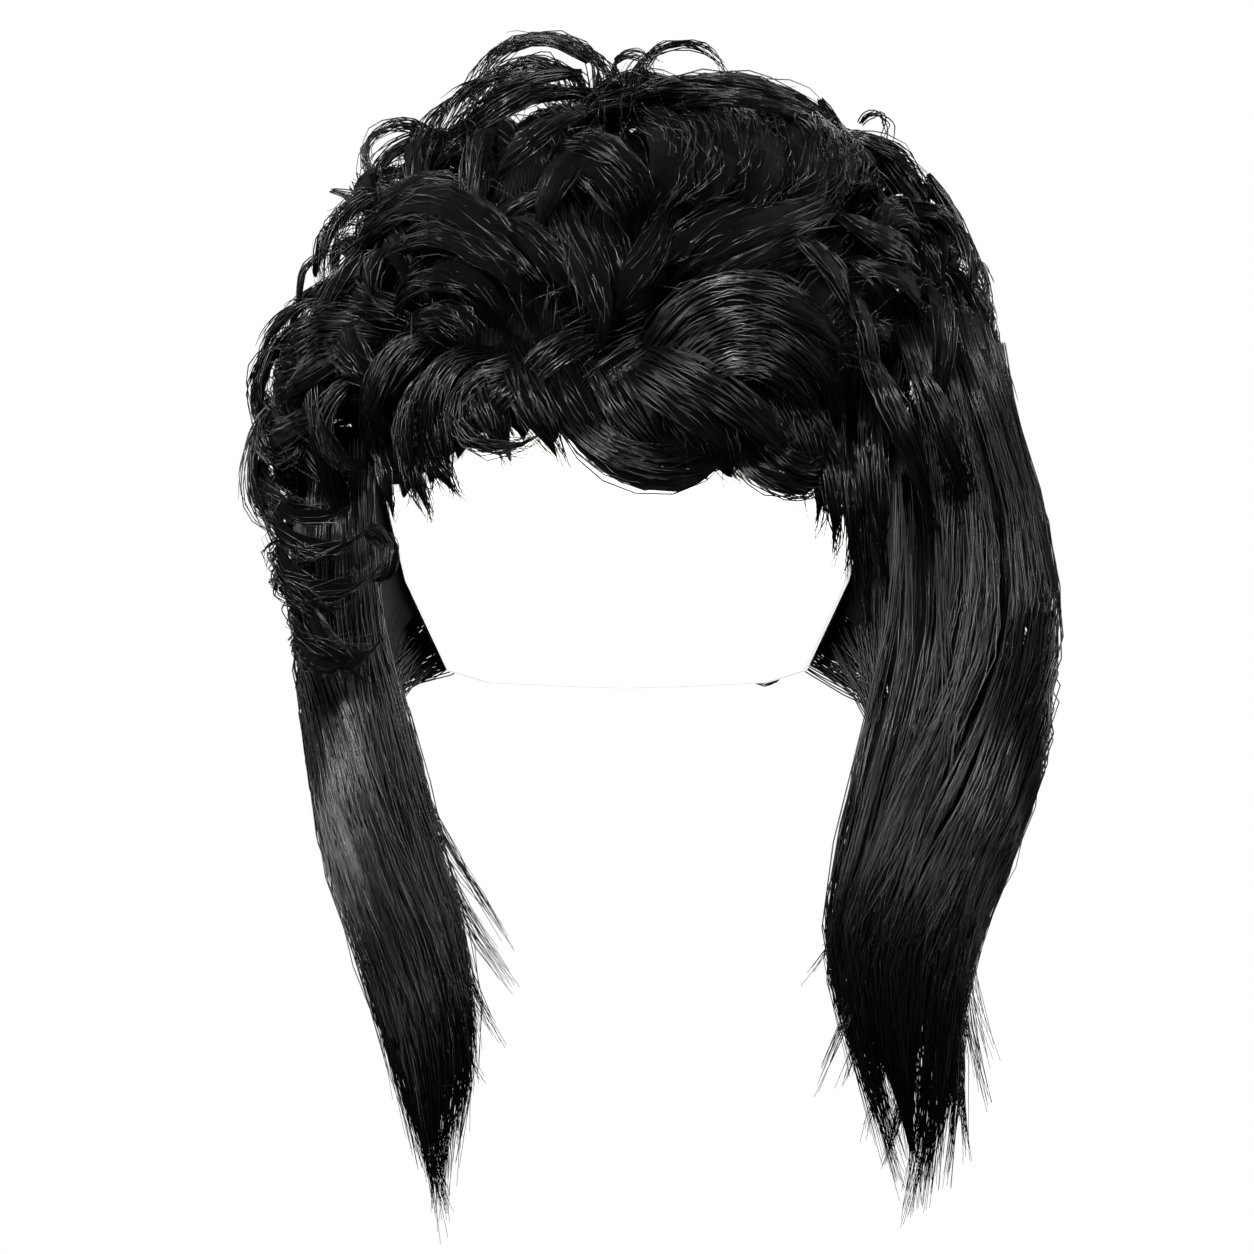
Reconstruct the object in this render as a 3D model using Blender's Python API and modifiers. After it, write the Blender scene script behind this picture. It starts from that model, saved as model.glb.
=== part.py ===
"""A mullet wig: a net cap, tumbled curls over it and two long straight lengths in front of the shoulders.

The wig stands as it is worn. The origin is the top of the head that fills the cap, +Z is up, the face
looks along -Y and the wearer's left is +X. Lengths are in metres and angles in degrees. An azimuth is
0 over the face, 90 over the wearer's left ear and 180 over the nape.
"""
import math

import bmesh
import bpy
import numpy as np
from mathutils import Vector

# The head that the cap is shaped on
HEAD_HALF_BREADTH = 0.0775
HEAD_HALF_LENGTH = 0.098
HEAD_RISE = 0.093
HEAD_FALL = 0.135

# The cap, with how far its edge lies below the top of the head
CAP_WALL = 0.0015
HAIRLINE_DROP = 0.056
TEMPLE_DROP = 0.090
EAR_DROP = 0.080
BEHIND_EAR_DROP = 0.148
NAPE_DROP = 0.150
CAP_COLUMNS = 28
CAP_ROWS = 8
CHIN_ROWS = 6

# The curls
HAIR_GAP = 0.0004
HAIR_DEPTH = 0.026
SIDE_DEPTH = 0.034
HAIRLINE_DEPTH = 0.014
CURL_HEIGHT = 0.040
CURL_RADIUS = 0.031
LOCK_THICKNESS = 0.010
LOCK_POINTS = 4
SWEEP_PER_POINT = 50
CURL_SOFTNESS = 0.02
FLATNESS = 3

# The long lengths
LENGTH_DROP = 0.313
LEFT_SPREAD = 0.132
RIGHT_SPREAD = 0.104
NAPE_SPREAD = 0.101
SECTION_POINTS = 7
LONG_LOCK_THICKNESS = 0.0085

# The partings between the bundles of hair
PARTING = 0.0004
CROWN_LEVEL = 0.014
SKIRT_LEVEL = 0.094
FRINGE_AZIMUTH = 52
BACK_AZIMUTH = 130
REACH = 0.4

HEAD_AXES = Vector((HEAD_HALF_BREADTH, HEAD_HALF_LENGTH, HEAD_RISE))
HEAD_CENTRE = Vector((0, 0, -HEAD_RISE))

# Locks drawn as they show from one side of the head. Each is a stretch of a spiral: the centre is in shares
# of the head's reach across and up from its widest level, the radii in shares of CURL_RADIUS, the angle at
# the root and the sweep in degrees, anticlockwise, the thickness in shares of LOCK_THICKNESS and the height
# over the cap in shares of CURL_HEIGHT.
# name, across, up, root radius, tip radius, root angle, sweep, thickness, height
FRONT_LOCKS = (
    ("arch_top", -0.33, 1.35, 0.52, 0.60, -30, 225, 0.45, 0.85),
    ("arch_fill", -0.06, 0.94, 1.38, 1.38, 103, 66, 1.2, 0.85),
    ("arch_right", 0.25, 1.05, 1.18, 1.18, 112, 54, 0.8, 0.95),
    ("loop_left", -0.90, 1.12, 0.50, 0.30, -60, 380, 0.45, 0.70),
    ("loop_right", 0.23, 1.36, 0.52, 0.34, 190, -205, 0.40, 0.80),
    ("top_sweep", 0.45, 0.68, 1.90, 1.86, 114, -54, 0.85, 0.90),
    ("wave_left", -0.11, 1.02, 1.25, 1.25, 34, -56, 1.05, 1.0),
    ("wave_middle", 0.05, 1.05, 1.20, 1.20, 32, -62, 1.05, 1.0),
    ("wave_right", 0.25, 1.10, 1.20, 1.20, 22, -66, 1.0, 0.95),
    ("middle_arc", -0.27, 0.82, 1.02, 1.02, 92, -84, 0.8, 1.0),
    ("middle_arc_right", -0.03, 0.93, 0.74, 0.76, 78, -105, 0.75, 1.05),
    ("nest_left", -0.15, 0.97, 0.66, 0.70, 98, 78, 0.8, 0.95),
    ("centre_fall", -0.83, 0.68, 1.82, 1.82, 44, -58, 1.1, 1.0),
    ("centre_fall_right", -0.63, 0.68, 1.58, 1.58, 30, -44, 0.8, 1.0),
    ("long_diagonal", 0.97, 0.08, 2.77, 2.74, 96, 52, 1.0, 1.0),
    ("big_left", -0.68, 0.57, 1.04, 0.84, 0, 188, 1.35, 0.9),
    ("shoulder_curl", 1.01, 0.93, 0.52, 0.52, 120, -135, 0.9, 0.65),
    ("temple_left_a", 0.81, 1.12, 1.20, 1.18, -26, -52, 0.8, 0.9),
    ("temple_left_b", 0.61, 0.72, 0.70, 0.70, 52, -66, 0.8, 0.85),
    ("temple_left_c", 1.01, 0.68, 0.92, 0.92, 122, -66, 0.8, 0.85),
    ("smile_left", 0.98, 0.68, 0.42, 0.42, 215, 120, 0.7, 0.7),
    ("far_left_loop", 1.27, 0.72, 0.36, 0.36, 85, -125, 0.4, 0.7),
    ("shoulder_right_curl", -1.05, 0.72, 0.50, 0.54, 102, 100, 0.7, 0.75),
    ("temple_right_a", -1.21, 0.38, 0.62, 0.58, 112, 90, 0.8, 0.75),
    ("temple_right_b", -1.31, 0.25, 1.08, 1.04, 36, 54, 0.9, 0.8),
    ("temple_right_c", -1.21, 0.25, 0.60, 0.56, 62, 124, 1.0, 0.85),
    ("temple_right_d", -1.04, 0.24, 0.44, 0.30, 55, 210, 0.8, 0.75),
    ("ear_right_a", -1.23, 0.02, 0.42, 0.42, 165, 160, 0.8, 0.7),
    ("ear_right_b", -1.17, -0.20, 0.46, 0.46, 172, 122, 0.85, 0.6),
    ("ear_right_c", -1.12, -0.39, 0.44, 0.44, 182, 118, 0.75, 0.5),
    ("roll_right", -0.95, 0.27, 0.50, 0.44, 205, 130, 0.8, 0.65),
    ("spike_fall", -0.35, 0.02, 1.66, 1.60, 124, 40, 0.85, 0.75),
    ("fringe_wave", 0.49, 0.25, 1.18, 0.90, 142, -152, 1.0, 0.85),
    ("fringe_under", 0.53, 0.15, 0.84, 0.82, 132, -124, 1.0, 0.70),
    ("fringe_roll", 0.09, 0.35, 0.88, 0.70, 168, 152, 0.7, 0.55),
    ("fringe_diagonal", -0.11, 0.02, 1.35, 1.33, 76, -62, 1.1, 0.65),
    ("fringe_diagonal_low", 0.25, -0.05, 1.35, 1.33, 76, -58, 1.0, 0.60),
    ("fringe_curl_left", 0.61, 0.16, 0.34, 0.30, 175, 170, 0.6, 0.50),
    ("fringe_curl", -0.48, 0.34, 0.42, 0.36, 165, 190, 0.75, 0.60),
)

# Rows of curls that go round the crown, the sides and the back: how high they face, the first and last
# azimuth, how many, the radius and sweep of each, the turn of the whole row and the thickness and height
# name, elevation, first azimuth, last azimuth, count, radius, sweep, root angle, thickness, height
CURL_ROWS = (
    ("top_curls", 74, 70, 290, 4, 1.05, 190, 20, 1.2, 0.85),
    ("upper_curls", 46, 80, 280, 6, 1.05, 200, 80, 1.3, 0.85),
    ("middle_curls", 18, 92, 268, 6, 1.00, 210, 140, 1.3, 0.82),
    ("lower_curls", -8, 100, 260, 6, 0.90, 190, 210, 1.2, 0.75),
)

# Level sections of a length, from under the curls to the tips: the drop in shares of LENGTH_DROP, the
# azimuths of the front and back edge, the inner radius in shares of HEAD_HALF_BREADTH, the outer radius
# beside the neck in shares of the length's spread and behind it in shares of NAPE_SPREAD
# drop, front azimuth, back azimuth, inner radius, outer radius, outer radius behind
LEFT_SECTIONS = (
    (0.22, 66, 178, 0.90, 0.80, 0.94),
    (0.30, 62, 178, 0.90, 0.95, 0.99),
    (0.39, 60, 178, 0.89, 1.02, 1.00),
    (0.46, 60, 174, 0.89, 1.02, 0.98),
    (0.49, 60, 164, 0.89, 1.01, 0.96),
    (0.52, 59, 128, 0.88, 0.99, 0.98),
    (0.58, 58, 104, 0.85, 0.97, 1.05),
    (0.65, 55, 98, 0.82, 0.92, 1.10),
    (0.72, 53, 93, 0.81, 0.86, 1.08),
    (0.80, 57, 90, 0.95, 0.83, 1.03),
    (0.86, 59, 84, 1.07, 0.79, 0.99),
    (0.95, 66, 77, 1.16, 0.74, 0.95),
)
RIGHT_SECTIONS = (
    (0.22, 66, 178, 0.90, 0.92, 0.94),
    (0.30, 62, 178, 0.92, 0.99, 0.99),
    (0.39, 60, 178, 0.90, 1.00, 1.00),
    (0.46, 59, 174, 0.89, 0.98, 0.97),
    (0.49, 58, 164, 0.88, 0.97, 0.96),
    (0.52, 56, 126, 0.85, 0.95, 0.93),
    (0.58, 53, 102, 0.79, 0.93, 0.93),
    (0.65, 50, 93, 0.76, 0.90, 0.90),
    (0.72, 46, 84, 0.74, 0.86, 0.86),
    (0.80, 43, 78, 0.80, 0.80, 0.80),
    (0.86, 43, 74, 0.86, 0.75, 0.75),
    (0.95, 49, 61, 0.90, 0.70, 0.70),
)

# Locks laid down a length: where they start and end across it from the front edge to the back edge, which
# side of it they lie on from inner to outer, and the drops of the root and the tip in shares of LENGTH_DROP
# across at root, across at tip, side, root drop, tip drop
LEFT_LONG_LOCKS = (
    (0.06, 0.10, 0.3, 0.36, 0.88),
    (0.16, 0.35, 0.8, 0.31, 0.97),
    (0.30, 0.60, 0.8, 0.31, 1.00),
    (0.46, 0.90, 0.8, 0.31, 0.95),
    (0.64, 0.92, 0.8, 0.33, 0.86),
    (0.84, 0.95, 0.8, 0.38, 0.76),
)
RIGHT_LONG_LOCKS = (
    (0.06, 0.08, 0.3, 0.36, 0.84),
    (0.14, 0.35, 0.8, 0.34, 0.95),
    (0.30, 0.60, 0.8, 0.34, 1.00),
    (0.46, 0.90, 0.8, 0.34, 0.92),
    (0.64, 0.92, 0.8, 0.36, 0.83),
    (0.84, 0.95, 0.8, 0.40, 0.72),
)


def collection(name):
    """A new collection in the scene"""
    made = bpy.data.collections.new(name)
    bpy.context.scene.collection.children.link(made)
    return made


def material(name, colour, roughness):
    """A plain Principled material"""
    made = bpy.data.materials.new(name)
    made.use_nodes = True
    shader = made.node_tree.nodes["Principled BSDF"]
    shader.inputs["Base Color"].default_value = (*colour, 1)
    shader.inputs["Roughness"].default_value = roughness
    made.diffuse_color = (*colour, 1)
    return made


def object_of(mesh, name, into):
    """A mesh object in a collection"""
    made = bpy.data.objects.new(name, mesh)
    into.objects.link(made)
    return made


def face_outwards(shape):
    """Turns the faces of a closed shape outwards, thin plates too"""
    bmesh.ops.recalc_face_normals(shape, faces=shape.faces)
    if shape.calc_volume(signed=True) < 0:
        bmesh.ops.reverse_faces(shape, faces=shape.faces)


def mesh_of(shape, name):
    """A mesh from a bmesh, with its faces pointing out"""
    face_outwards(shape)
    mesh = bpy.data.meshes.new(name)
    shape.to_mesh(mesh)
    shape.free()
    return mesh


def eased(x, xs, ys):
    """A value between named stations, with a smooth turn at each"""
    for low, high, start, end in zip(xs, xs[1:], ys, ys[1:]):
        if x <= high:
            step = (x - low) / (high - low)
            return start + (end - start) * step * step * (3 - 2 * step)
    return ys[-1]


def edge_angle(azimuth):
    """The angle from the top of the head down to the cap's edge"""
    side = abs((azimuth + 180) % 360 - 180)
    drops = (HAIRLINE_DROP, TEMPLE_DROP, EAR_DROP, BEHIND_EAR_DROP, NAPE_DROP)
    drop = eased(side, (0, 62, 96, 134, 180), drops)
    level = HEAD_RISE - drop
    share = level / (HEAD_RISE if level > 0 else HEAD_FALL)
    return math.degrees(math.acos(max(-0.98, min(0.98, share))))


def on_head(azimuth, angle, height):
    """A point at a height over the head"""
    turn, dip = math.radians(azimuth), math.radians(angle)
    direction = Vector((math.sin(dip) * math.sin(turn), -math.sin(dip) * math.cos(turn), math.cos(dip)))
    axes = HEAD_AXES + Vector((height, height, height))
    if direction.z < 0:
        axes.z = HEAD_FALL + height
    return HEAD_CENTRE + direction * axes


def head_shape(height, closed):
    """The head's form at a height over it, to the cap's edge or closed under the chin"""
    rings = CAP_ROWS + CHIN_ROWS
    shape = bmesh.new()
    bmesh.ops.create_uvsphere(shape, u_segments=CAP_COLUMNS, v_segments=rings, radius=1)
    beyond = []
    for point in shape.verts:
        ring = round(math.degrees(math.acos(max(-1, min(1, point.co.z)))) * rings / 180)
        azimuth = math.degrees(math.atan2(point.co.x, -point.co.y))
        edge = edge_angle(azimuth)
        if ring <= CAP_ROWS:
            angle, share = edge * ring / CAP_ROWS, ring / CAP_ROWS
        else:
            angle, share = edge + (180 - edge) * (ring - CAP_ROWS) / CHIN_ROWS, 1
            beyond.append(point)
        point.co = on_head(azimuth, angle, height(azimuth, share))
    if not closed:
        bmesh.ops.delete(shape, geom=beyond, context="VERTS")
    bmesh.ops.recalc_face_normals(shape, faces=shape.faces)
    return shape


def hair_depth(azimuth, share):
    """How deep the ground of the curls lies over the cap"""
    front = max(0, math.cos(math.radians(azimuth))) ** 2 * share ** 2
    beside = math.sin(math.radians(azimuth)) ** 2 * share ** 0.5
    depth = HAIR_DEPTH + (SIDE_DEPTH - HAIR_DEPTH) * beside
    return CAP_WALL + depth + (HAIRLINE_DEPTH - HAIR_DEPTH) * front


def hair_ground():
    """The closed ground that the curls are fused to"""
    shape = head_shape(hair_depth, closed=False)
    heart = shape.verts.new(HEAD_CENTRE)
    for edge in [edge for edge in shape.edges if edge.is_boundary]:
        shape.faces.new((*edge.verts, heart))
    return mesh_of(shape, "hair ground")


def reach_along(direction):
    """How far the head reaches from its centre along a direction"""
    return Vector(a * d for a, d in zip(HEAD_AXES, direction)).length


def lay_on_hair(point, away, height):
    """Moves a drawn point along the view until it lies at a height over the upper or the lower head"""
    for level in (HEAD_RISE, HEAD_FALL):
        axes = Vector((HEAD_HALF_BREADTH, HEAD_HALF_LENGTH, level)) + Vector((height, height, height))
        ray = Vector(a / b for a, b in zip(away, axes))
        start = Vector(a / b for a, b in zip(point, axes))
        bend = ray.dot(start)
        size = ray.dot(ray)
        inside = bend * bend - size * (start.dot(start) - 1)
        softened = (inside + math.hypot(inside, CURL_SOFTNESS * size)) / 2
        laid = point + away * ((math.sqrt(softened) - bend) / size)
        if laid.z > 0:
            break
    return HEAD_CENTRE + laid


def curl(azimuth, elevation, across, up, radii, root_angle, sweep, height):
    """The line of a lock that is drawn as it shows from one side and laid over the head"""
    turn, lift = math.radians(azimuth), math.radians(elevation)
    right = Vector((math.cos(turn), math.sin(turn), 0))
    away = Vector((math.sin(turn) * math.cos(lift), -math.cos(turn) * math.cos(lift), math.sin(lift)))
    upward = away.cross(right)
    line = []
    for step in np.linspace(0, 1, LOCK_POINTS + round(abs(sweep) / SWEEP_PER_POINT)):
        angle = math.radians(root_angle + sweep * step)
        radius = CURL_RADIUS * (radii[0] + (radii[1] - radii[0]) * step)
        drawn = right * (across * reach_along(right) + radius * math.cos(angle))
        drawn += upward * (up * reach_along(upward) + radius * math.sin(angle))
        rise = 0.3 + 0.7 * math.sin(math.pi * (0.1 + 0.75 * step))
        line.append(lay_on_hair(drawn, away, CURL_HEIGHT * height * rise))
    return line


def tube(name, line, thickness, root_share, tip_share, into):
    """A lock as a closed tube that swells from its root and tapers to its tip"""
    data = bpy.data.curves.new(name, "CURVE")
    data.dimensions = "3D"
    data.bevel_depth = thickness
    data.bevel_resolution = 1
    data.use_fill_caps = True
    path = data.splines.new("POLY")
    path.points.add(len(line) - 1)
    for index, (point, place) in enumerate(zip(path.points, line)):
        step = index / (len(line) - 1)
        swell = math.sin(math.pi * (0.2 + 0.8 * step)) ** 0.7 if step < 1 else 0
        point.co = (*place, 1)
        point.radius = max(swell, root_share * (1 - step), tip_share)
    drawn = object_of(data, name, into)
    solid = applied(drawn, name, into, weld=0.00002)
    bpy.data.curves.remove(data)
    return solid


def applied(thing, name, into, weld=0.000001):
    """The evaluated object as a plain closed mesh, in place of the object"""
    bpy.context.view_layer.update()
    graph = bpy.context.evaluated_depsgraph_get()
    mesh = bpy.data.meshes.new_from_object(thing.evaluated_get(graph))
    shape = bmesh.new()
    shape.from_mesh(mesh)
    bmesh.ops.triangulate(shape, faces=shape.faces)
    bmesh.ops.remove_doubles(shape, verts=shape.verts, dist=weld)
    face_outwards(shape)
    shape.to_mesh(mesh)
    shape.free()
    made = object_of(mesh, name, into)
    made.matrix_world = thing.matrix_world
    bpy.data.objects.remove(thing)
    return made


def section(rows, spread, drop):
    """One level of a length: its front and back azimuth and its inner and outer radii"""
    drops = [row[0] for row in rows]
    front, back, inner, outer, behind = (
        float(np.interp(drop, drops, [row[column] for row in rows])) for column in range(1, 6)
    )
    return front, back, inner * HEAD_HALF_BREADTH, outer * spread, behind * NAPE_SPREAD


def length_point(rows, spread, side, drop, across, depth):
    """A point in a length: from its front edge to its back edge, and from its inner to its outer face"""
    front, back, inner, outer, behind = section(rows, spread, drop)
    azimuth = front + (back - front) * across
    blend = max(0, min(1, (azimuth - 90) / 90))
    outer += (behind - outer) * blend
    middle, half = (inner + outer) / 2, (outer - inner) / 2
    radius = middle + half * (2 * depth - 1) * (1 - abs(2 * across - 1) ** 3) ** 0.5
    turn = math.radians(azimuth)
    stretch = 1 + (HEAD_HALF_LENGTH / HEAD_HALF_BREADTH - 1) * max(0, -math.cos(turn))
    return Vector((side * radius * math.sin(turn), -radius * math.cos(turn) * stretch, -drop * LENGTH_DROP))


def length_ground(name, rows, spread, side, into):
    """A length's body, lofted through its level sections"""
    shape = bmesh.new()
    rings = []
    shares = [index / SECTION_POINTS for index in range(SECTION_POINTS + 1)]
    for row in rows:
        ring = [length_point(rows, spread, side, row[0], share, 0) for share in shares]
        ring += [length_point(rows, spread, side, row[0], share, 1) for share in shares[-2:0:-1]]
        rings.append([shape.verts.new(point) for point in ring])
    count = len(rings[0])
    for upper, lower in zip(rings, rings[1:]):
        for index in range(count):
            after = (index + 1) % count
            shape.faces.new((upper[index], upper[after], lower[after], lower[index]))
    shape.faces.new(rings[0])
    shape.faces.new(rings[-1])
    bmesh.ops.triangulate(shape, faces=shape.faces)
    return object_of(mesh_of(shape, name), name, into)


def long_lock(name, rows, spread, side, lock, into):
    """A straight lock that lies down a length and ends in a point"""
    root_across, tip_across, depth, root_drop, tip_drop = lock
    line = []
    for step in np.linspace(0, 1, LOCK_POINTS + 2):
        drop = root_drop + (tip_drop - root_drop) * step
        across = root_across + (tip_across - root_across) * step
        line.append(length_point(rows, spread, side, drop, across, depth - 0.3 * step))
        line[-1].z = -drop * LENGTH_DROP
    return tube(name, line, LONG_LOCK_THICKNESS, 0.8, 0.12, into)


def fuse(ground, group):
    """Joins the locks of a collection to a ground"""
    union = ground.modifiers.new("fuse", "BOOLEAN")
    union.operation = "UNION"
    union.operand_type = "COLLECTION"
    union.collection = group
    union.solver = "EXACT"
    union.use_self = True
    return applied(ground, "hair", parts)


def cut(body, cutter):
    """Takes a cutter out of a body"""
    difference = body.modifiers.new("cut", "BOOLEAN")
    difference.operation = "DIFFERENCE"
    difference.object = cutter
    difference.solver = "EXACT"
    cutter.hide_render = True
    cutter.display_type = "WIRE"
    return applied(body, body.name, parts)


def plate(name, azimuth, top, bottom):
    """An upright parting that runs out from the head's middle at an azimuth"""
    shape = bmesh.new()
    bmesh.ops.create_cube(shape, size=1)
    turn = math.radians(azimuth)
    outward = Vector((math.sin(turn), -math.cos(turn), 0))
    sideways = Vector((math.cos(turn), math.sin(turn), 0))
    for point in shape.verts:
        flat = outward * (point.co.x + 0.5) * REACH + sideways * point.co.y * PARTING
        point.co = Vector((flat.x, flat.y, bottom + (top - bottom) * (point.co.z + 0.5)))
    return object_of(mesh_of(shape, name), name, cutters)


def level_plate(name, level, first, last):
    """A level parting between two azimuths"""
    outline = bpy.data.curves.new(name, "CURVE")
    outline.dimensions = "2D"
    outline.fill_mode = "BOTH"
    outline.extrude = PARTING / 2
    turns = np.radians(np.linspace(first, last, 13))
    corners = [(REACH * math.sin(turn), -REACH * math.cos(turn)) for turn in turns]
    if last - first < 360:
        corners.append((0, 0))
    else:
        corners.pop()
    path = outline.splines.new("POLY")
    path.points.add(len(corners) - 1)
    for point, corner in zip(path.points, corners):
        point.co = (*corner, 0, 1)
    path.use_cyclic_u = True
    drawn = object_of(outline, name, cutters)
    drawn.location.z = -level
    return applied(drawn, name, cutters)


def bundle_of(point):
    """The bundle of hair that a point lies in"""
    azimuth = abs(math.degrees(math.atan2(point.x, -point.y)))
    side = "left" if point.x > 0 else "right"
    if point.z > -CROWN_LEVEL:
        return "crown_curls"
    if azimuth < FRINGE_AZIMUTH:
        return "fringe_curls"
    if point.z < -SKIRT_LEVEL:
        return side + "_length"
    return side + "_side_curls" if azimuth < BACK_AZIMUTH else "back_curls"


def pieces_of(body):
    """The loose pieces of a body, largest first, each with the points that it holds"""
    shape = bmesh.new()
    shape.from_mesh(body.data)
    shape.verts.index_update()
    shape.faces.index_update()
    unseen = set(shape.verts)
    pieces = []
    while unseen:
        seed = unseen.pop()
        piece, open_ends = {seed}, [seed]
        while open_ends:
            for edge in open_ends.pop().link_edges:
                for point in edge.verts:
                    if point in unseen:
                        unseen.remove(point)
                        piece.add(point)
                        open_ends.append(point)
        pieces.append(piece)
    pieces.sort(key=len, reverse=True)
    return shape, pieces


def flattened(piece, name):
    """The mesh of one loose piece, with the cuts' spare edges on its flat faces taken out"""
    whole = bmesh.new()
    copies = {point: whole.verts.new(point.co) for point in sorted(piece, key=lambda point: point.index)}
    faces = {face for point in piece for face in point.link_faces}
    for face in sorted(faces, key=lambda face: face.index):
        whole.faces.new([copies[point] for point in face.verts])
    whole.normal_update()
    bmesh.ops.dissolve_limit(whole, angle_limit=math.radians(FLATNESS), verts=whole.verts, edges=whole.edges)
    bmesh.ops.triangulate(whole, faces=whole.faces)
    return mesh_of(whole, name)


def bundles_from(hair):
    """The largest piece of hair in each bundle, as an object of its own"""
    shape, pieces = pieces_of(hair)
    made = {}
    for piece in pieces:
        names = [bundle_of(point.co) for point in piece]
        name = max(sorted(set(names)), key=names.count)
        if name in made:
            continue
        made[name] = object_of(flattened(piece, name), name, parts)
    shape.free()
    bpy.data.objects.remove(hair)
    return made


for old in list(bpy.data.objects):
    bpy.data.objects.remove(old)
parts = collection("mullet wig")
cutters = collection("mullet wig cutters")
locks = collection("mullet wig locks")

# The net cap, whose wall lies inside its outer face
cap = object_of(mesh_of(head_shape(lambda azimuth, share: CAP_WALL, closed=False), "cap"), "cap", parts)
wall = cap.modifiers.new("wall", "SOLIDIFY")
wall.thickness = CAP_WALL
wall.offset = -1
wall.use_even_offset = True
cap.data.materials.append(material("pale net", (0.75, 0.72, 0.68), 0.8))

# Every lock, fused to the ground of the curls and the lengths
for name, across, up, root, tip, angle, sweep, thickness, height in FRONT_LOCKS:
    line = curl(0, 0, across, up, (root, tip), angle, sweep, height)
    tube(name, line, LOCK_THICKNESS * thickness, 0.8, 0.2, locks)
for name, elevation, first, last, count, radius, sweep, angle, thickness, height in CURL_ROWS:
    for index in range(count):
        azimuth = first + (last - first) * index / (count - 1)
        way = 1 if index % 2 else -1
        line = curl(azimuth, elevation, 0, 0, (radius, radius * 0.8), angle + 40 * index, way * sweep, height)
        tube(f"{name}_{index + 1}", line, LOCK_THICKNESS * thickness, 0.8, 0.2, locks)
for side, spread, rows, laid, title in (
    (1, LEFT_SPREAD, LEFT_SECTIONS, LEFT_LONG_LOCKS, "left"),
    (-1, RIGHT_SPREAD, RIGHT_SECTIONS, RIGHT_LONG_LOCKS, "right"),
):
    length_ground(title + " ground", rows, spread, side, locks)
    for index, lock in enumerate(laid):
        long_lock(f"{title}_long_{index + 1}", rows, spread, side, lock, locks)
hair = fuse(object_of(hair_ground(), "hair", parts), locks)

# The hollow for the head and the cap, and the partings between the bundles
hollow = head_shape(lambda azimuth, share: CAP_WALL + HAIR_GAP, closed=True)
hair = cut(hair, object_of(mesh_of(hollow, "head hollow"), "head hollow", cutters))
hair = cut(hair, level_plate("crown parting", CROWN_LEVEL, 0, 360))
hair = cut(hair, level_plate("skirt parting", SKIRT_LEVEL, FRINGE_AZIMUTH, 360 - FRINGE_AZIMUTH))
for azimuth in (FRINGE_AZIMUTH, BACK_AZIMUTH, 360 - BACK_AZIMUTH, 360 - FRINGE_AZIMUTH):
    hair = cut(hair, plate(f"parting at {azimuth}", azimuth, -CROWN_LEVEL, -SKIRT_LEVEL))
hair = cut(hair, plate("nape parting", 180, -SKIRT_LEVEL, -LENGTH_DROP))
for name, bundle in bundles_from(hair).items():
    bundle.data.materials.append(material(name + " hair", (0.012, 0.012, 0.014), 0.4))
    bundle.data.shade_smooth()
    bundle.data.set_sharp_from_angle(angle=math.radians(50))
for lock in list(locks.objects):
    bpy.data.objects.remove(lock)
bpy.data.collections.remove(locks)
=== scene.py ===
"""The looks of a black mullet wig: pale net, strands laid in tumbled locks, and long straight lengths."""
import math

import bmesh
import bpy
import numpy as np
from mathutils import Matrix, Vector


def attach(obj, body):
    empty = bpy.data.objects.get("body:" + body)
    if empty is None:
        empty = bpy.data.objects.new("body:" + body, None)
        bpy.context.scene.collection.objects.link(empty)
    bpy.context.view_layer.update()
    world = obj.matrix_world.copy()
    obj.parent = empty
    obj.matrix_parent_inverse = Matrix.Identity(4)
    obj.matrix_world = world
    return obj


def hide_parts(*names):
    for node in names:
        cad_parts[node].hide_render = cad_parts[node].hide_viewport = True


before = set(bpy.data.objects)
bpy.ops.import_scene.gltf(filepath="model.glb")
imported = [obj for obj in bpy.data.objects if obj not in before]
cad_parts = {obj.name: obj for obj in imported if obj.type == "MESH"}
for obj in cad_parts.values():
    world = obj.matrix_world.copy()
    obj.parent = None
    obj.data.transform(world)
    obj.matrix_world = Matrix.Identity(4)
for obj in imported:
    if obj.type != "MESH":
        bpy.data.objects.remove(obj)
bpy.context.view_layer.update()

# The studio: the photograph looks at the wig from straight in front, with a long lens, on plain white.
# One of its pixels is 0.31 mm of the wig, and the top of the head lies 205 pixels down from its upper edge.
PIXEL = 0.00031
PHOTO_SIDE = 1254
HEAD_TOP_ROW = 205
LENS = 200
SENSOR = 36
WORLD_LIGHT = 0.02


def linked_object(name, data):
    """An object in the scene's own collection"""
    made = bpy.data.objects.new(name, data)
    bpy.context.scene.collection.objects.link(made)
    return made


def add(tree, kind, inputs=(), **settings):
    """A node with its settings, and with numbers, texts or other nodes' outputs in its sockets"""
    made = tree.nodes.new(kind)
    for key, value in settings.items():
        setattr(made, key, value)
    for key, value in dict(inputs).items():
        feed(tree, made.inputs[key], value)
    return made


def feed(tree, socket, value):
    """A number, a text or another node's output into a socket"""
    if isinstance(value, bpy.types.NodeSocket):
        tree.links.new(value, socket)
    else:
        socket.default_value = value


camera = linked_object("camera", bpy.data.cameras.new("camera"))
camera.data.lens = LENS
camera.data.sensor_width = SENSOR
camera.location = (0, -PHOTO_SIDE * PIXEL * LENS / SENSOR, (HEAD_TOP_ROW - PHOTO_SIDE / 2) * PIXEL)
camera.rotation_euler = (math.pi / 2, 0, 0)
bpy.context.scene.camera = camera
bpy.context.scene.view_settings.view_transform = "Standard"

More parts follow.
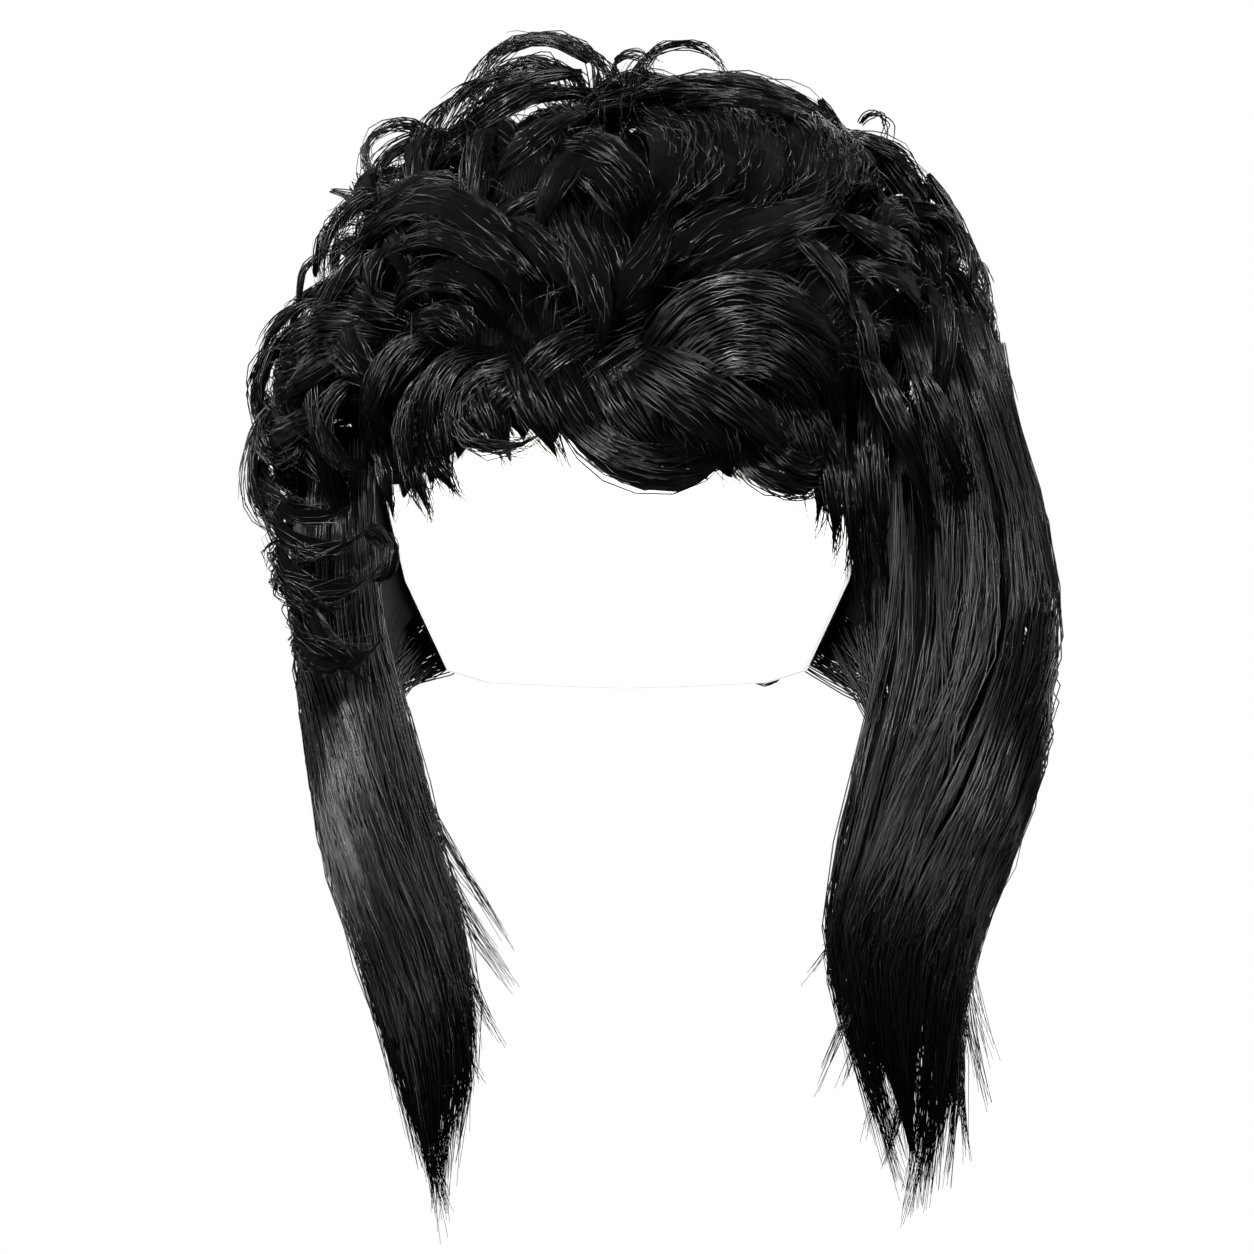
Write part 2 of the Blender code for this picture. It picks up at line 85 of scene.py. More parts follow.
# name, place, aim, side in metres, watts
SOFTBOXES = (
    ("top softbox", (-0.38, -1.70, 1.05), (0, 0, -0.08), 0.42, 66),
    ("overhead softbox", (0.15, -0.15, 1.5), (0, 0, 0), 0.5, 8),
    ("right softbox", (1.05, -1.50, 0.55), (0, 0, -0.12), 0.5, 14),
    ("low softbox", (0.45, -1.75, -0.30), (0, 0, -0.22), 0.4, 13),
    ("left softbox", (-1.25, -1.20, 0.25), (0, 0, -0.12), 0.45, 13),
    ("left rim softbox", (-1.3, 0.7, 0.5), (0, 0, -0.12), 0.8, 8),
    ("right rim softbox", (1.3, 0.8, 0.4), (0, 0, -0.12), 0.8, 8),
    ("back softbox", (0.1, 1.7, 0.8), (0, 0, -0.12), 0.9, 4),
)
for name, place, aim, side, watts in SOFTBOXES:
    lamp = linked_object(name, bpy.data.lights.new(name, "AREA"))
    lamp.data.size = side
    lamp.data.energy = watts
    lamp.location = place
    lamp.rotation_euler = (Vector(aim) - Vector(place)).to_track_quat("-Z", "Y").to_euler()

world = bpy.data.worlds.new("white room")
bpy.context.scene.world = world
world.use_nodes = True
sky = world.node_tree
sky.nodes.clear()
seen = add(sky, "ShaderNodeBackground", {"Color": (1, 1, 1, 1), "Strength": 1.0})
lighting = add(sky, "ShaderNodeBackground", {"Color": (0.95, 0.97, 1, 1), "Strength": WORLD_LIGHT})
by_camera = add(sky, "ShaderNodeLightPath").outputs["Is Camera Ray"]
chosen = add(sky, "ShaderNodeMixShader", {0: by_camera, 1: lighting.outputs[0], 2: seen.outputs[0]})
add(sky, "ShaderNodeOutputWorld", {0: chosen.outputs[0]})

# The cap: a stretch net in a pale skin tone that shows only inside the wig and under its edges.
# The mesh of the net is a pattern of fine holes in the finish, with the wall left whole.
NET_PALE = (0.90, 0.89, 0.87, 1)
NET_SHADE = (0.70, 0.68, 0.65, 1)
NET_CELLS = 520
NET_EVENNESS = 0.25
NET_RELIEF = 0.0004


def finish_of(name, values):
    """A new material, its node tree and its shader with values in the shader's own sockets"""
    made = bpy.data.materials.new(name)
    made.use_nodes = True
    shader = made.node_tree.nodes["Principled BSDF"]
    for key, value in values.items():
        shader.inputs[key].default_value = value
    return made, made.node_tree, shader


def shaded(tree, shader, factor, low, high, low_at=0, high_at=1):
    """Colours a finish between two shades by another node's output"""
    ramp = add(tree, "ShaderNodeValToRGB", {"Fac": factor})
    for stop, at, shade in zip(ramp.color_ramp.elements, (low_at, high_at), (low, high)):
        stop.position = at
        stop.color = shade
    feed(tree, shader.inputs["Base Color"], ramp.outputs["Color"])


def raised(tree, shader, height, strength, distance, **settings):
    """Gives a finish a relief by another node's output"""
    values = {"Strength": strength, "Distance": distance, "Height": height}
    relief = add(tree, "ShaderNodeBump", values, **settings)
    feed(tree, shader.inputs["Normal"], relief.outputs["Normal"])


# The net also glows with a faint near-white emission: painted light that keeps the inside of the wig bright
# as if lit from the front.
net, tree, shader = finish_of("pale stretch net", {
    "Roughness": 0.85,
    "Sheen Weight": 0.2,
    "Emission Color": (1, 0.99, 0.97, 1),
    "Emission Strength": 0.75,
})
place = add(tree, "ShaderNodeTexCoord").outputs["Object"]
cell_values = {"Vector": place, "Scale": NET_CELLS, "Randomness": NET_EVENNESS}
cells = add(tree, "ShaderNodeTexVoronoi", cell_values, feature="DISTANCE_TO_EDGE").outputs["Distance"]
shaded(tree, shader, cells, NET_PALE, NET_SHADE, 0.06, 0.22)
raised(tree, shader, cells, 0.4, NET_RELIEF, invert=True)
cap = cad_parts["cap"]
cap.data.materials.clear()
cap.data.materials.append(net)
for face in cap.data.polygons:
    face.use_smooth = True

# The under hair: short crimped hair sewn close over the net, which fills the space under the locks and
# keeps the net from showing. It follows the head at part of the depth of the curls, down to the cap's edge.
# Its black is set darker than the strands' own, as painted shade under the locks; the crimp waves vary its
# tone.
HEAD = Vector((0.0775, 0.098, 0.093))
HEAD_FALL = 0.135
HEAD_CENTRE = Vector((0, 0, -0.093))
CAP_WALL = 0.0015
UNDER_START = 0.0022
UNDER_DEPTH = 0.72
UNDER_BORDER = 0.985
UNDER_ROUNDING = 5
HAIR_DEPTH = 0.026
SIDE_DEPTH = 0.034
HAIRLINE_DEPTH = 0.014
EDGE_AZIMUTHS = (0, 62, 96, 134, 180)
EDGE_DROPS = (0.056, 0.090, 0.080, 0.148, 0.150)
UNDER_COLUMNS = 72
UNDER_ROWS = 22
CRIMP_PAINTED_SHADES = (0.0005, 0.0005, 0.0005, 1), (0.003, 0.003, 0.003, 1)
CRIMP_WAVES = {"Scale": 260, "Distortion": 9, "Detail": 3, "Detail Scale": 0.6}
CRIMP_RELIEF = 0.001


def from_front(azimuth):
    """How many degrees an azimuth lies from the front, on either side"""
    return abs((azimuth + 180) % 360 - 180)


def edge_angle(azimuth):
    """The angle from the top of the head down to the cap's edge"""
    side = from_front(azimuth)
    drop = EDGE_DROPS[-1]
    for low, high, start, end in zip(EDGE_AZIMUTHS, EDGE_AZIMUTHS[1:], EDGE_DROPS, EDGE_DROPS[1:]):
        if side <= high:
            step = (side - low) / (high - low)
            drop = start + (end - start) * step * step * (3 - 2 * step)
            break
    level = HEAD.z - drop
    share = level / (HEAD.z if level > 0 else HEAD_FALL)
    return math.degrees(math.acos(max(-1, min(1, share))))


def on_head(azimuth, angle, height):
    """A point at a height over the head"""
    turn, dip = math.radians(azimuth), math.radians(angle)
    direction = Vector((math.sin(dip) * math.sin(turn), -math.sin(dip) * math.cos(turn), math.cos(dip)))
    axes = HEAD + Vector((height, height, height))
    if direction.z < 0:
        axes.z = HEAD_FALL + height
    return HEAD_CENTRE + direction * axes


def hair_depth(azimuth, share):
    """How deep the curls lie over the cap, before the locks that stand out of them"""
    front = max(0, math.cos(math.radians(azimuth))) ** 2 * share ** 2
    beside = math.sin(math.radians(azimuth)) ** 2 * share ** 0.5
    depth = HAIR_DEPTH + (SIDE_DEPTH - HAIR_DEPTH) * beside
    return CAP_WALL + depth + (HAIRLINE_DEPTH - HAIR_DEPTH) * front


def under_height(azimuth, share):
    """How high the under hair stands, rounded down to nothing at the cap's edge"""
    return UNDER_START + hair_depth(azimuth, share) * UNDER_DEPTH * (1 - share ** UNDER_ROUNDING)


def smooth_object(name, shape, finish):
    """An object of a closed shape, smooth, with its faces turned outward"""
    bmesh.ops.recalc_face_normals(shape, faces=shape.faces)
    mesh = bpy.data.meshes.new(name)
    shape.to_mesh(mesh)
    shape.free()
    mesh.shade_smooth()
    mesh.materials.append(finish)
    return linked_object(name, mesh)


def closed_shell(name, inner_height, outer_height, finish):
    """A closed wall over the head between two heights, down to the cap's edge"""
    shape = bmesh.new()
    skins = []
    for height in (outer_height, inner_height):
        top = shape.verts.new(on_head(0, 0, height(0, 0)))
        rings = []
        for row in range(1, UNDER_ROWS + 1):
            share = row / UNDER_ROWS
            rings.append([])
            for column in range(UNDER_COLUMNS):
                azimuth = 360 * column / UNDER_COLUMNS
                place = on_head(azimuth, edge_angle(azimuth) * share * UNDER_BORDER, height(azimuth, share))
                rings[-1].append(shape.verts.new(place))
        skins.append((top, rings))
    for column in range(UNDER_COLUMNS):
        after = (column + 1) % UNDER_COLUMNS
        for top, rings in skins:
            shape.faces.new((top, rings[0][column], rings[0][after]))
            for upper, lower in zip(rings, rings[1:]):
                shape.faces.new((upper[column], lower[column], lower[after], upper[after]))
        outer, inner = skins[0][1][-1], skins[1][1][-1]
        shape.faces.new((outer[column], inner[column], inner[after], outer[after]))
    return smooth_object(name, shape, finish)


crimp, tree, shader = finish_of("crimped under hair", {"Roughness": 0.7, "Specular IOR Level": 0.1})
place = add(tree, "ShaderNodeTexCoord").outputs["Object"]
waves = add(tree, "ShaderNodeTexWave", {"Vector": place, **CRIMP_WAVES}).outputs["Fac"]
shaded(tree, shader, waves, *CRIMP_PAINTED_SHADES)
raised(tree, shader, waves, 0.8, CRIMP_RELIEF)
under_hair = closed_shell("under_hair", lambda azimuth, share: UNDER_START, under_height, crimp)
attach(under_hair, "root")

# The locks: each is a flat bundle of hair that was curled on a rod, so it follows a stretch of a spiral
# and swells from its root and tapers to its tip. A table draws the ones that show in front, as they show
# there: the centre in shares of the head's reach across and up, the radii in shares of CURL_RADIUS, the
# angle at the root and the sweep in degrees, the half width in millimetres, the height over the cap in
# shares of CURL_HEIGHT and how full it is, where 0 has no solid heart and lets light through.
CURL_HEIGHT = 0.040
CURL_RADIUS = 0.031
CURL_SOFTNESS = 0.02
OUTLINE_SOFTNESS = 0.3
BENDS_SOFTENED = 3
GUIDE_POINTS = 28
LOCK_FLATNESS = 0.42
LOCK_TWIST = 0.5
STRANDS_PER_MM = 3.4
LOOSE_CURL = 0.85
LOOSE_WAVE = 0.55
# name, across, up, root radius, tip radius, root angle, sweep, half width, height, fullness
FRONT_LOCKS = (
    ("arch_top", -0.33, 1.37, 0.58, 0.66, -30, 225, 6.5, 0.85, 0.0),
    ("arch_top_inner", -0.34, 1.34, 0.38, 0.46, -20, 205, 6.0, 0.80, 0.0),
    ("arch_fall", -0.42, 1.10, 0.95, 0.90, 88, 80, 6.0, 0.85, 0.0),
    ("loop_left", -0.92, 1.15, 0.54, 0.14, -60, 520, 4.5, 0.70, 0.0),
    ("small_arch", 0.02, 1.42, 0.20, 0.20, 200, -220, 2.2, 0.80, 0.0),
    ("loop_right", 0.23, 1.38, 0.54, 0.36, 190, -205, 4.0, 0.80, 0.0),
    ("loop_right_low", 0.26, 1.27, 0.36, 0.30, 200, -200, 5.0, 0.85, 1.0),
    ("top_left_spray", -0.52, 0.92, 0.80, 0.84, 150, -60, 6.0, 0.85, 1.0),
    ("ring_right", 0.98, 1.24, 0.15, 0.13, 150, -250, 1.6, 0.50, 0.0),
    ("tangle_left", 1.07, 0.70, 0.34, 0.16, 170, -330, 5.0, 0.75, 1.0),
    ("smile_left", 0.98, 0.68, 0.42, 0.42, 215, 120, 6.5, 0.70, 1.0),
    ("far_left_loop", 1.27, 0.72, 0.36, 0.36, 85, -125, 3.5, 0.70, 0.0),
    ("far_left_wisp", 1.01, 0.35, 1.30, 1.32, 40, -42, 1.8, 0.75, 0.0),
    ("tip_right", -1.02, 0.68, 0.84, 0.92, 66, 52, 3.5, 0.75, 0.0),
    ("shoulder_right_a", -0.79, 1.02, 0.65, 0.62, 50, 150, 6.5, 0.95, 1.0),
    ("shoulder_right_b", -0.91, 0.78, 0.75, 0.72, 60, 135, 7.0, 0.90, 1.0),
    ("shoulder_right_c", -1.13, 0.53, 0.62, 0.60, 55, 135, 6.0, 0.80, 1.0),
    ("side_right_top", -1.21, 0.35, 0.72, 0.66, 85, 145, 6.5, 0.75, 1.0),
    ("side_right_middle", -1.19, 0.12, 0.78, 0.74, 115, 135, 6.5, 0.70, 1.0),
    ("temple_right_ring", -1.35, 0.22, 0.32, 0.14, 60, 380, 5.0, 0.70, 1.0),
    ("ear_right_ring", -1.35, 0.03, 0.22, 0.12, 90, 300, 4.0, 0.90, 1.0),
    ("ear_right_b", -1.17, -0.20, 0.46, 0.46, 172, 122, 8.0, 1.00, 1.0),
    ("ear_right_c", -1.12, -0.39, 0.44, 0.44, 182, 118, 7.0, 1.05, 1.0),
    ("ear_right_d", -1.00, -0.18, 0.24, 0.24, 100, -200, 5.5, 1.00, 1.0),
    ("top_left_a", 0.53, 1.05, 0.90, 0.88, 125, -100, 7.0, 1.00, 1.0),
    ("top_left_b", 0.89, 0.92, 0.85, 0.80, 120, -130, 7.5, 0.95, 1.0),
    ("shoulder_left_a", 1.09, 0.75, 0.72, 0.68, 100, -120, 7.0, 0.85, 1.0),
    ("shoulder_left_b", 1.15, 0.55, 0.72, 0.66, 80, -110, 7.0, 0.80, 1.0),
    ("top_middle", 0.05, 1.12, 0.90, 0.88, 130, -90, 7.0, 0.85, 1.0),
    ("spike_outer", -1.19, 0.02, 1.00, 0.96, 38, -48, 3.5, 0.60, 0.0),
    ("spike_inner", -0.91, -0.05, 0.72, 0.72, 66, -52, 3.0, 0.55, 0.0),
)
# The waves between them, drawn over the front of the hair as points across and down in the photograph's
# pixels, then the half width in millimetres, the height over the cap and the fullness as above. The row
# of locks that backs the fringe hangs from one line: pixels across, lean and lowest pixel.
FRINGE_BACKS = (
    (448, -4, 492), (470, -2, 470), (492, 2, 456), (514, 5, 454), (536, 8, 456), (558, 9, 462),
    (580, 10, 474), (602, 11, 484), (624, 12, 490), (648, 12, 492), (672, 11, 490), (696, 11, 488),
    (720, 10, 490), (744, 9, 492), (768, 8, 494), (792, 8, 500), (812, 7, 512), (424, -5, 505),
)
FRINGE_ROOTS = 352
FRINGE_BEND = 392
FRINGE_TIPS = 22
FRINGE_WIDTH = 9.6
FRINGE_HEIGHT = 0.42
FRINGE_SHARE = 0.41
FRINGE_ROW = ()
for x, lean, low in FRINGE_BACKS:
    roots = (x, FRINGE_ROOTS), (x + lean, FRINGE_BEND)
    tips = (x + lean * 2.2, low - FRINGE_TIPS), (x + lean * 3, low)
    FRINGE_ROW += ((f"fringe_row_{x}", roots + tips, FRINGE_WIDTH, FRINGE_HEIGHT, 1.0),)
FRONT_WAVES = FRINGE_ROW + (
    ("arch_fill_a", ((597, 94), (542, 102), (487, 137), (456, 188)), 8.0, 1.00, 1.0),
    ("arch_fill_b", ((581, 75), (526, 86), (464, 129), (429, 176)), 7.0, 0.95, 1.0),
    ("arch_fill_c", ((604, 114), (558, 137), (511, 176), (487, 223)), 8.0, 1.05, 1.0),
    ("arch_fill_d", ((588, 62), (545, 44), (500, 58), (470, 98), (452, 140)), 6.0, 0.85, 0.0),
    ("arch_fill_e", ((572, 80), (530, 64), (492, 84), (468, 124), (440, 165)), 6.0, 0.85, 0.0),
    ("arch_fill_f", ((470, 95), (440, 118), (428, 150), (420, 190)), 6.0, 0.85, 0.0),
    ("wave_sheet_a", ((690, 100), (724, 142), (730, 190), (690, 244)), 11.0, 1.12, 1.0),
    ("wave_sheet_b", ((776, 98), (812, 140), (814, 190), (770, 244)), 11.0, 1.12, 1.0),
    ("middle_arc_a", ((554, 188), (573, 164), (604, 164), (643, 203), (663, 254)), 7.0, 1.12, 1.0),
    ("middle_arc_b", ((542, 203), (565, 184), (597, 188), (624, 223), (636, 270)), 7.0, 1.06, 1.0),
    ("middle_fall", ((597, 121), (585, 160), (561, 195), (542, 238), (538, 277)), 8.0, 1.06, 1.0),
    ("wave_a", ((636, 122), (668, 160), (668, 204), (640, 256)), 12.0, 1.05, 1.0),
    ("wave_b", ((672, 112), (708, 152), (706, 200), (668, 250)), 14.0, 1.07, 1.0),
    ("wave_c", ((712, 106), (752, 150), (750, 200), (704, 252)), 15.0, 1.09, 1.0),
    ("wave_d", ((754, 104), (796, 148), (794, 198), (748, 250)), 15.0, 1.08, 1.0),
    ("wave_e", ((796, 100), (832, 146), (830, 192), (794, 240)), 12.0, 1.05, 1.0),
    ("top_sweep_a", ((606, 124), (676, 98), (752, 96), (812, 118), (842, 156)), 9.0, 1.20, 1.0),
    ("top_sweep_b", ((640, 104), (712, 84), (786, 92), (829, 112)), 7.0, 1.00, 1.0),
    ("top_sweep_c", ((636, 140), (700, 116), (768, 118), (824, 142), (850, 182)), 7.0, 1.16, 1.0),
    ("ridge_a", ((819, 102), (835, 137), (829, 184), (807, 223)), 7.0, 1.02, 1.0),
    ("ridge_b", ((846, 137), (877, 153), (909, 192), (928, 246)), 8.0, 1.00, 1.0),
    ("ridge_c", ((854, 160), (893, 176), (920, 215), (924, 270)), 7.0, 0.96, 1.0),
    ("ridge_d", ((838, 199), (877, 207), (909, 246), (916, 293)), 8.0, 0.98, 1.0),
    ("ridge_e", ((831, 246), (870, 246), (901, 277), (893, 324)), 8.0, 0.95, 1.0),
    ("ridge_f", ((928, 176), (951, 215), (971, 262), (983, 309)), 5.0, 0.80, 1.0),
    ("ridge_g", ((955, 231), (983, 277), (979, 324), (959, 348)), 3.0, 0.75, 0.0),
    ("ridge_k", ((922, 225), (955, 280), (980, 340), (996, 400)), 7.0, 0.86, 1.0),
    ("ridge_l", ((905, 215), (935, 270), (962, 330), (975, 390)), 7.0, 0.90, 1.0),
    ("ridge_h", ((799, 215), (846, 238), (893, 262), (932, 270)), 7.0, 1.00, 1.0),
    ("ridge_i", ((807, 270), (854, 277), (885, 309), (889, 348)), 6.0, 0.84, 1.0),
    (
        "big_curl_a",
        ((360, 300), (378, 244), (425, 213), (480, 231), (525, 275), (560, 328)),
        9.0, 1.06, 1.0,
    ),
    (
        "big_curl_b",
        ((376, 322), (402, 268), (446, 248), (494, 272), (530, 310), (545, 345)),
        8.0, 0.96, 1.0,
    ),
    ("big_curl_c", ((390, 345), (419, 300), (462, 288), (500, 312), (520, 350)), 7.0, 0.86, 1.0),
    ("big_curl_low", ((400, 365), (430, 335), (462, 330), (485, 352), (480, 380)), 6.0, 0.76, 1.0),
    ("big_curl_d", ((347, 277), (374, 227), (417, 196), (464, 199), (503, 231)), 7.0, 0.92, 1.0),
    ("big_curl_e", ((470, 226), (522, 250), (560, 290), (578, 335)), 6.0, 0.96, 1.0),
    ("centre_a", ((560, 190), (570, 240), (592, 290), (604, 345), (590, 385)), 8.0, 1.04, 1.0),
    ("centre_b", ((600, 200), (600, 250), (618, 300), (622, 350)), 6.0, 0.94, 1.0),
    ("centre_c", ((664, 196), (662, 240), (640, 282), (618, 318), (612, 350)), 7.0, 1.00, 1.0),
    ("centre_d", ((536, 215), (546, 262), (572, 300), (584, 345)), 6.0, 0.96, 1.0),
    ("diagonal_a", ((862, 176), (806, 222), (742, 250), (688, 280), (650, 322)), 9.0, 1.06, 1.0),
    ("diagonal_b", ((850, 214), (796, 248), (738, 274), (694, 304), (668, 340)), 8.0, 0.98, 1.0),
    ("diagonal_c", ((790, 200), (740, 224), (700, 248), (660, 282), (640, 318)), 6.0, 1.02, 1.0),
    ("diagonal_d", ((830, 250), (790, 272), (744, 290), (712, 306)), 6.0, 0.88, 1.0),
    (
        "fringe_wave_a",
        ((640, 372), (684, 322), (745, 306), (802, 330), (838, 376), (842, 440)),
        9.0, 1.00, 1.0,
    ),
    (
        "fringe_wave_b",
        ((654, 392), (702, 346), (755, 336), (802, 362), (828, 408), (826, 462)),
        9.0, 0.90, 1.0,
    ),
    ("fringe_wave_c", ((664, 412), (710, 374), (760, 370), (798, 404), (808, 462)), 8.0, 0.80, 1.0),
    ("fringe_slant_a", ((620, 355), (667, 379), (721, 410), (776, 457), (792, 488)), 8.0, 0.72, 1.0),
    ("fringe_slant_b", ((604, 371), (651, 402), (706, 441), (753, 480)), 7.0, 0.66, 1.0),
    (
        "fringe_roll_a",
        ((562, 387), (573, 433), (612, 472), (667, 490), (714, 472), (729, 445)),
        6.0, 0.62, 1.0,
    ),
    ("fringe_roll_b", ((581, 394), (593, 433), (628, 461), (675, 472), (710, 453)), 5.0, 0.60, 0.0),
    ("fringe_hook_a", ((729, 457), (760, 484), (799, 492), (827, 469)), 5.0, 0.55, 1.0),
    ("fringe_hook_b", ((745, 426), (768, 465), (803, 476), (831, 449)), 5.0, 0.58, 1.0),
    (
        "fringe_ring_a",
        ((550, 355), (519, 379), (480, 394), (464, 426), (487, 453), (530, 453), (558, 433)),
        5.0, 0.66, 1.0,
    ),
    ("fringe_ring_b", ((542, 379), (519, 402), (503, 426), (519, 445)), 5.0, 0.62, 1.0),
    ("fringe_fall_a", ((475, 355), (488, 400), (505, 440), (520, 478)), 8.0, 0.60, 1.0),
    ("fringe_fall_b", ((515, 350), (528, 395), (545, 435), (565, 475)), 8.0, 0.60, 1.0),
    ("fringe_fall_c", ((555, 350), (570, 395), (590, 435), (615, 478)), 8.0, 0.56, 1.0),
    ("fringe_fall_d", ((595, 352), (618, 400), (645, 440), (680, 490)), 8.0, 0.54, 1.0),
    ("fringe_fall_e", ((640, 360), (670, 405), (702, 448), (740, 495)), 8.0, 0.52, 1.0),
    ("fringe_fall_f", ((700, 370), (735, 410), (768, 455), (795, 505)), 8.0, 0.52, 1.0),
    ("fringe_fall_g", ((760, 380), (790, 420), (812, 465), (828, 520)), 8.0, 0.52, 1.0),
    ("fringe_fall_h", ((440, 365), (438, 410), (448, 455), (462, 505)), 7.0, 0.60, 1.0),
    ("fringe_sweep_a", ((700, 345), (645, 365), (590, 400), (545, 450)), 7.0, 0.48, 1.0),
    ("fringe_sweep_b", ((620, 345), (570, 360), (525, 395), (495, 455)), 7.0, 0.50, 1.0),
    ("fringe_sweep_c", ((560, 400), (610, 440), (665, 462), (725, 470)), 6.0, 0.44, 1.0),
    ("spikes_a", ((503, 363), (464, 371), (441, 402), (437, 449), (448, 488)), 6.0, 0.72, 1.0),
    ("spikes_b", ((480, 371), (441, 387), (417, 426), (421, 480), (437, 519)), 5.0, 0.66, 1.0),
    ("spikes_c", ((464, 348), (417, 355), (386, 387), (378, 433), (394, 472)), 7.0, 0.80, 1.0),
    ("temple_a", ((417, 348), (370, 332), (324, 332), (292, 363), (285, 410)), 7.0, 0.90, 1.0),
    ("temple_b", ((402, 363), (355, 355), (316, 371), (300, 410), (316, 449)), 7.0, 0.84, 1.0),
    ("temple_c", ((386, 379), (347, 394), (331, 433), (355, 465), (386, 465)), 7.0, 0.78, 1.0),
    ("temple_d", ((308, 316), (277, 348), (261, 394), (269, 441)), 6.0, 0.80, 1.0),
    ("temple_e", ((331, 301), (300, 309), (273, 332), (257, 371)), 5.0, 0.80, 1.0),
    ("temple_f", ((277, 426), (265, 472), (292, 511), (339, 519), (370, 496)), 6.0, 0.92, 1.0),
    ("temple_g", ((285, 457), (277, 504), (300, 543), (347, 550), (378, 527)), 6.0, 0.98, 1.0),
    ("temple_h", ((292, 519), (288, 558), (316, 589), (359, 589), (386, 566)), 6.0, 1.02, 1.0),
    ("temple_i", ((300, 585), (304, 630), (332, 655), (372, 655), (394, 630)), 6.0, 1.06, 1.0),
    ("temple_j", ((300, 560), (320, 620), (350, 660), (385, 690)), 6.0, 1.06, 1.0),
    ("spray_a", ((331, 192), (363, 207), (386, 223)), 3.0, 0.70, 0.0),
    ("spray_b", ((316, 277), (328, 238), (359, 227), (378, 246)), 4.0, 0.75, 0.0),
    ("spray_c", ((300, 309), (308, 270), (339, 254), (370, 262)), 4.0, 0.75, 0.0),
    ("tuft_a", ((398, 415), (414, 458), (428, 495), (438, 524)), 5.0, 0.50, 1.0),
    ("tuft_b", ((422, 415), (438, 455), (452, 484), (468, 506)), 5.0, 0.50, 1.0),
    ("tuft_c", ((382, 420), (390, 468), (397, 500), (402, 532)), 5.0, 0.50, 1.0),
    ("tuft_d", ((806, 430), (820, 480), (827, 522), (824, 568)), 5.0, 0.50, 1.0),
    ("tuft_e", ((828, 430), (838, 480), (843, 528), (840, 578)), 5.5, 0.55, 1.0),
    ("tuft_f", ((800, 440), (808, 478), (812, 508), (806, 536)), 4.0, 0.45, 1.0),
    ("left_inner_a", ((834, 385), (842, 450), (848, 530), (852, 625)), 6.5, 0.60, 1.0),
    ("left_inner_b", ((848, 395), (856, 470), (862, 550), (864, 640)), 6.5, 0.66, 1.0),
    ("left_fall_a", ((850, 330), (870, 400), (905, 480), (940, 580)), 7.0, 1.00, 1.0),
    ("left_fall_b", ((880, 310), (910, 390), (950, 480), (985, 580)), 7.0, 1.00, 1.0),
    ("left_fall_c", ((860, 380), (862, 450), (870, 520), (880, 610)), 7.0, 0.80, 1.0),
)
BESIDE_FACE = ("temple", "ear", "left_inner")
TEMPLE_FRONT = -0.052
TEMPLE_SHARE = 0.22
# The arches that a lock follows: the share at the root, what the fullest place adds, and where on half
# a wave the lock starts and how much of it the lock takes
CURL_RISE = (0.10, 0.90, 0.06, 0.80)
WAVE_RISE = (0.12, 0.88, 0.10, 0.82)
SWELL = (0.28, 0.92, 0.03, 0.82)
TIP_NARROWING = 0.85
TIP_START = 0.60
SWAY = 0.020
SWAY_ALONG = 0.007
WAVE_SWEEP = 140
POINTS_FEWEST = 6
POINTS_MOST = 14
POINT_SWEEP = 34


def arch(step, root, gain, start, length):
    """A share that rises and falls along a lock as half a wave does"""
    return root + gain * math.sin(math.pi * (start + length * step))


def reach_along(direction):
    """How far the head reaches from its centre along a direction"""
    return Vector(a * d for a, d in zip(HEAD, direction)).length


def lay_on_hair(point, away, height, sway=0):
    """Moves a drawn point along the view until it lies at a height over the upper or the lower head, or where
    the head's outline is passed, to the middle of the head and a sway from it"""
    for level in (HEAD.z, HEAD_FALL):
        axes = Vector((HEAD.x, HEAD.y, level)) + Vector((height, height, height))
        ray = Vector(a / b for a, b in zip(away, axes))
        start = Vector(a / b for a, b in zip(point, axes))
        bend = ray.dot(start)
        size = ray.dot(ray)
        inside = bend * bend - size * (start.dot(start) - 1)
        softened = (inside + math.hypot(inside, CURL_SOFTNESS * size)) / 2
        past = max(0, min(1, 0.5 - inside / (OUTLINE_SOFTNESS * size)))
        laid = point + away * ((math.sqrt(softened) - bend) / size + sway * past)
        if laid.z > 0:
            break
    return HEAD_CENTRE + laid


def away_from_head(point):
    """The outward direction of the head's form at a point"""
    offset = point - HEAD_CENTRE
    level = HEAD.z if offset.z > 0 else HEAD_FALL
    return Vector((offset.x / HEAD.x ** 2, offset.y / HEAD.y ** 2, offset.z / level ** 2)).normalized()


def guide_from(line, half_width, strands, points, fullness=0, twist=LOCK_TWIST, swells=True):
    """A lock's middle line with its half width and half thickness as vectors at each point"""
    guide = {"line": [], "across": [], "out": [], "fullness": fullness, "strands": strands, "twist": twist}
    guide["points"] = points
    for index, place in enumerate(line):
        step = index / (len(line) - 1)
        along = (line[min(index + 1, len(line) - 1)] - line[max(index - 1, 0)]).normalized()
        outward = away_from_head(place)
        outward = (outward - along * outward.dot(along)).normalized()
        width = half_width * (arch(step, *SWELL) if swells else 1)
        width *= 1 - TIP_NARROWING * max(0, (step - TIP_START) / (1 - TIP_START)) ** 1.5
        guide["line"].append(place)
        guide["across"].append(along.cross(outward) * width)
        guide["out"].append(outward * width * LOCK_FLATNESS)
    return guide


def points_for(sweep):
    """How many points a strand needs for its sweep"""
    return min(POINTS_MOST, POINTS_FEWEST + round(abs(sweep) / POINT_SWEEP))


def held_back(point):
    """The point of a lock beside the face, kept from standing far forward of the side hair"""
    return Vector((point.x, max(point.y, TEMPLE_FRONT + (point.y - TEMPLE_FRONT) * TEMPLE_SHARE), point.z))


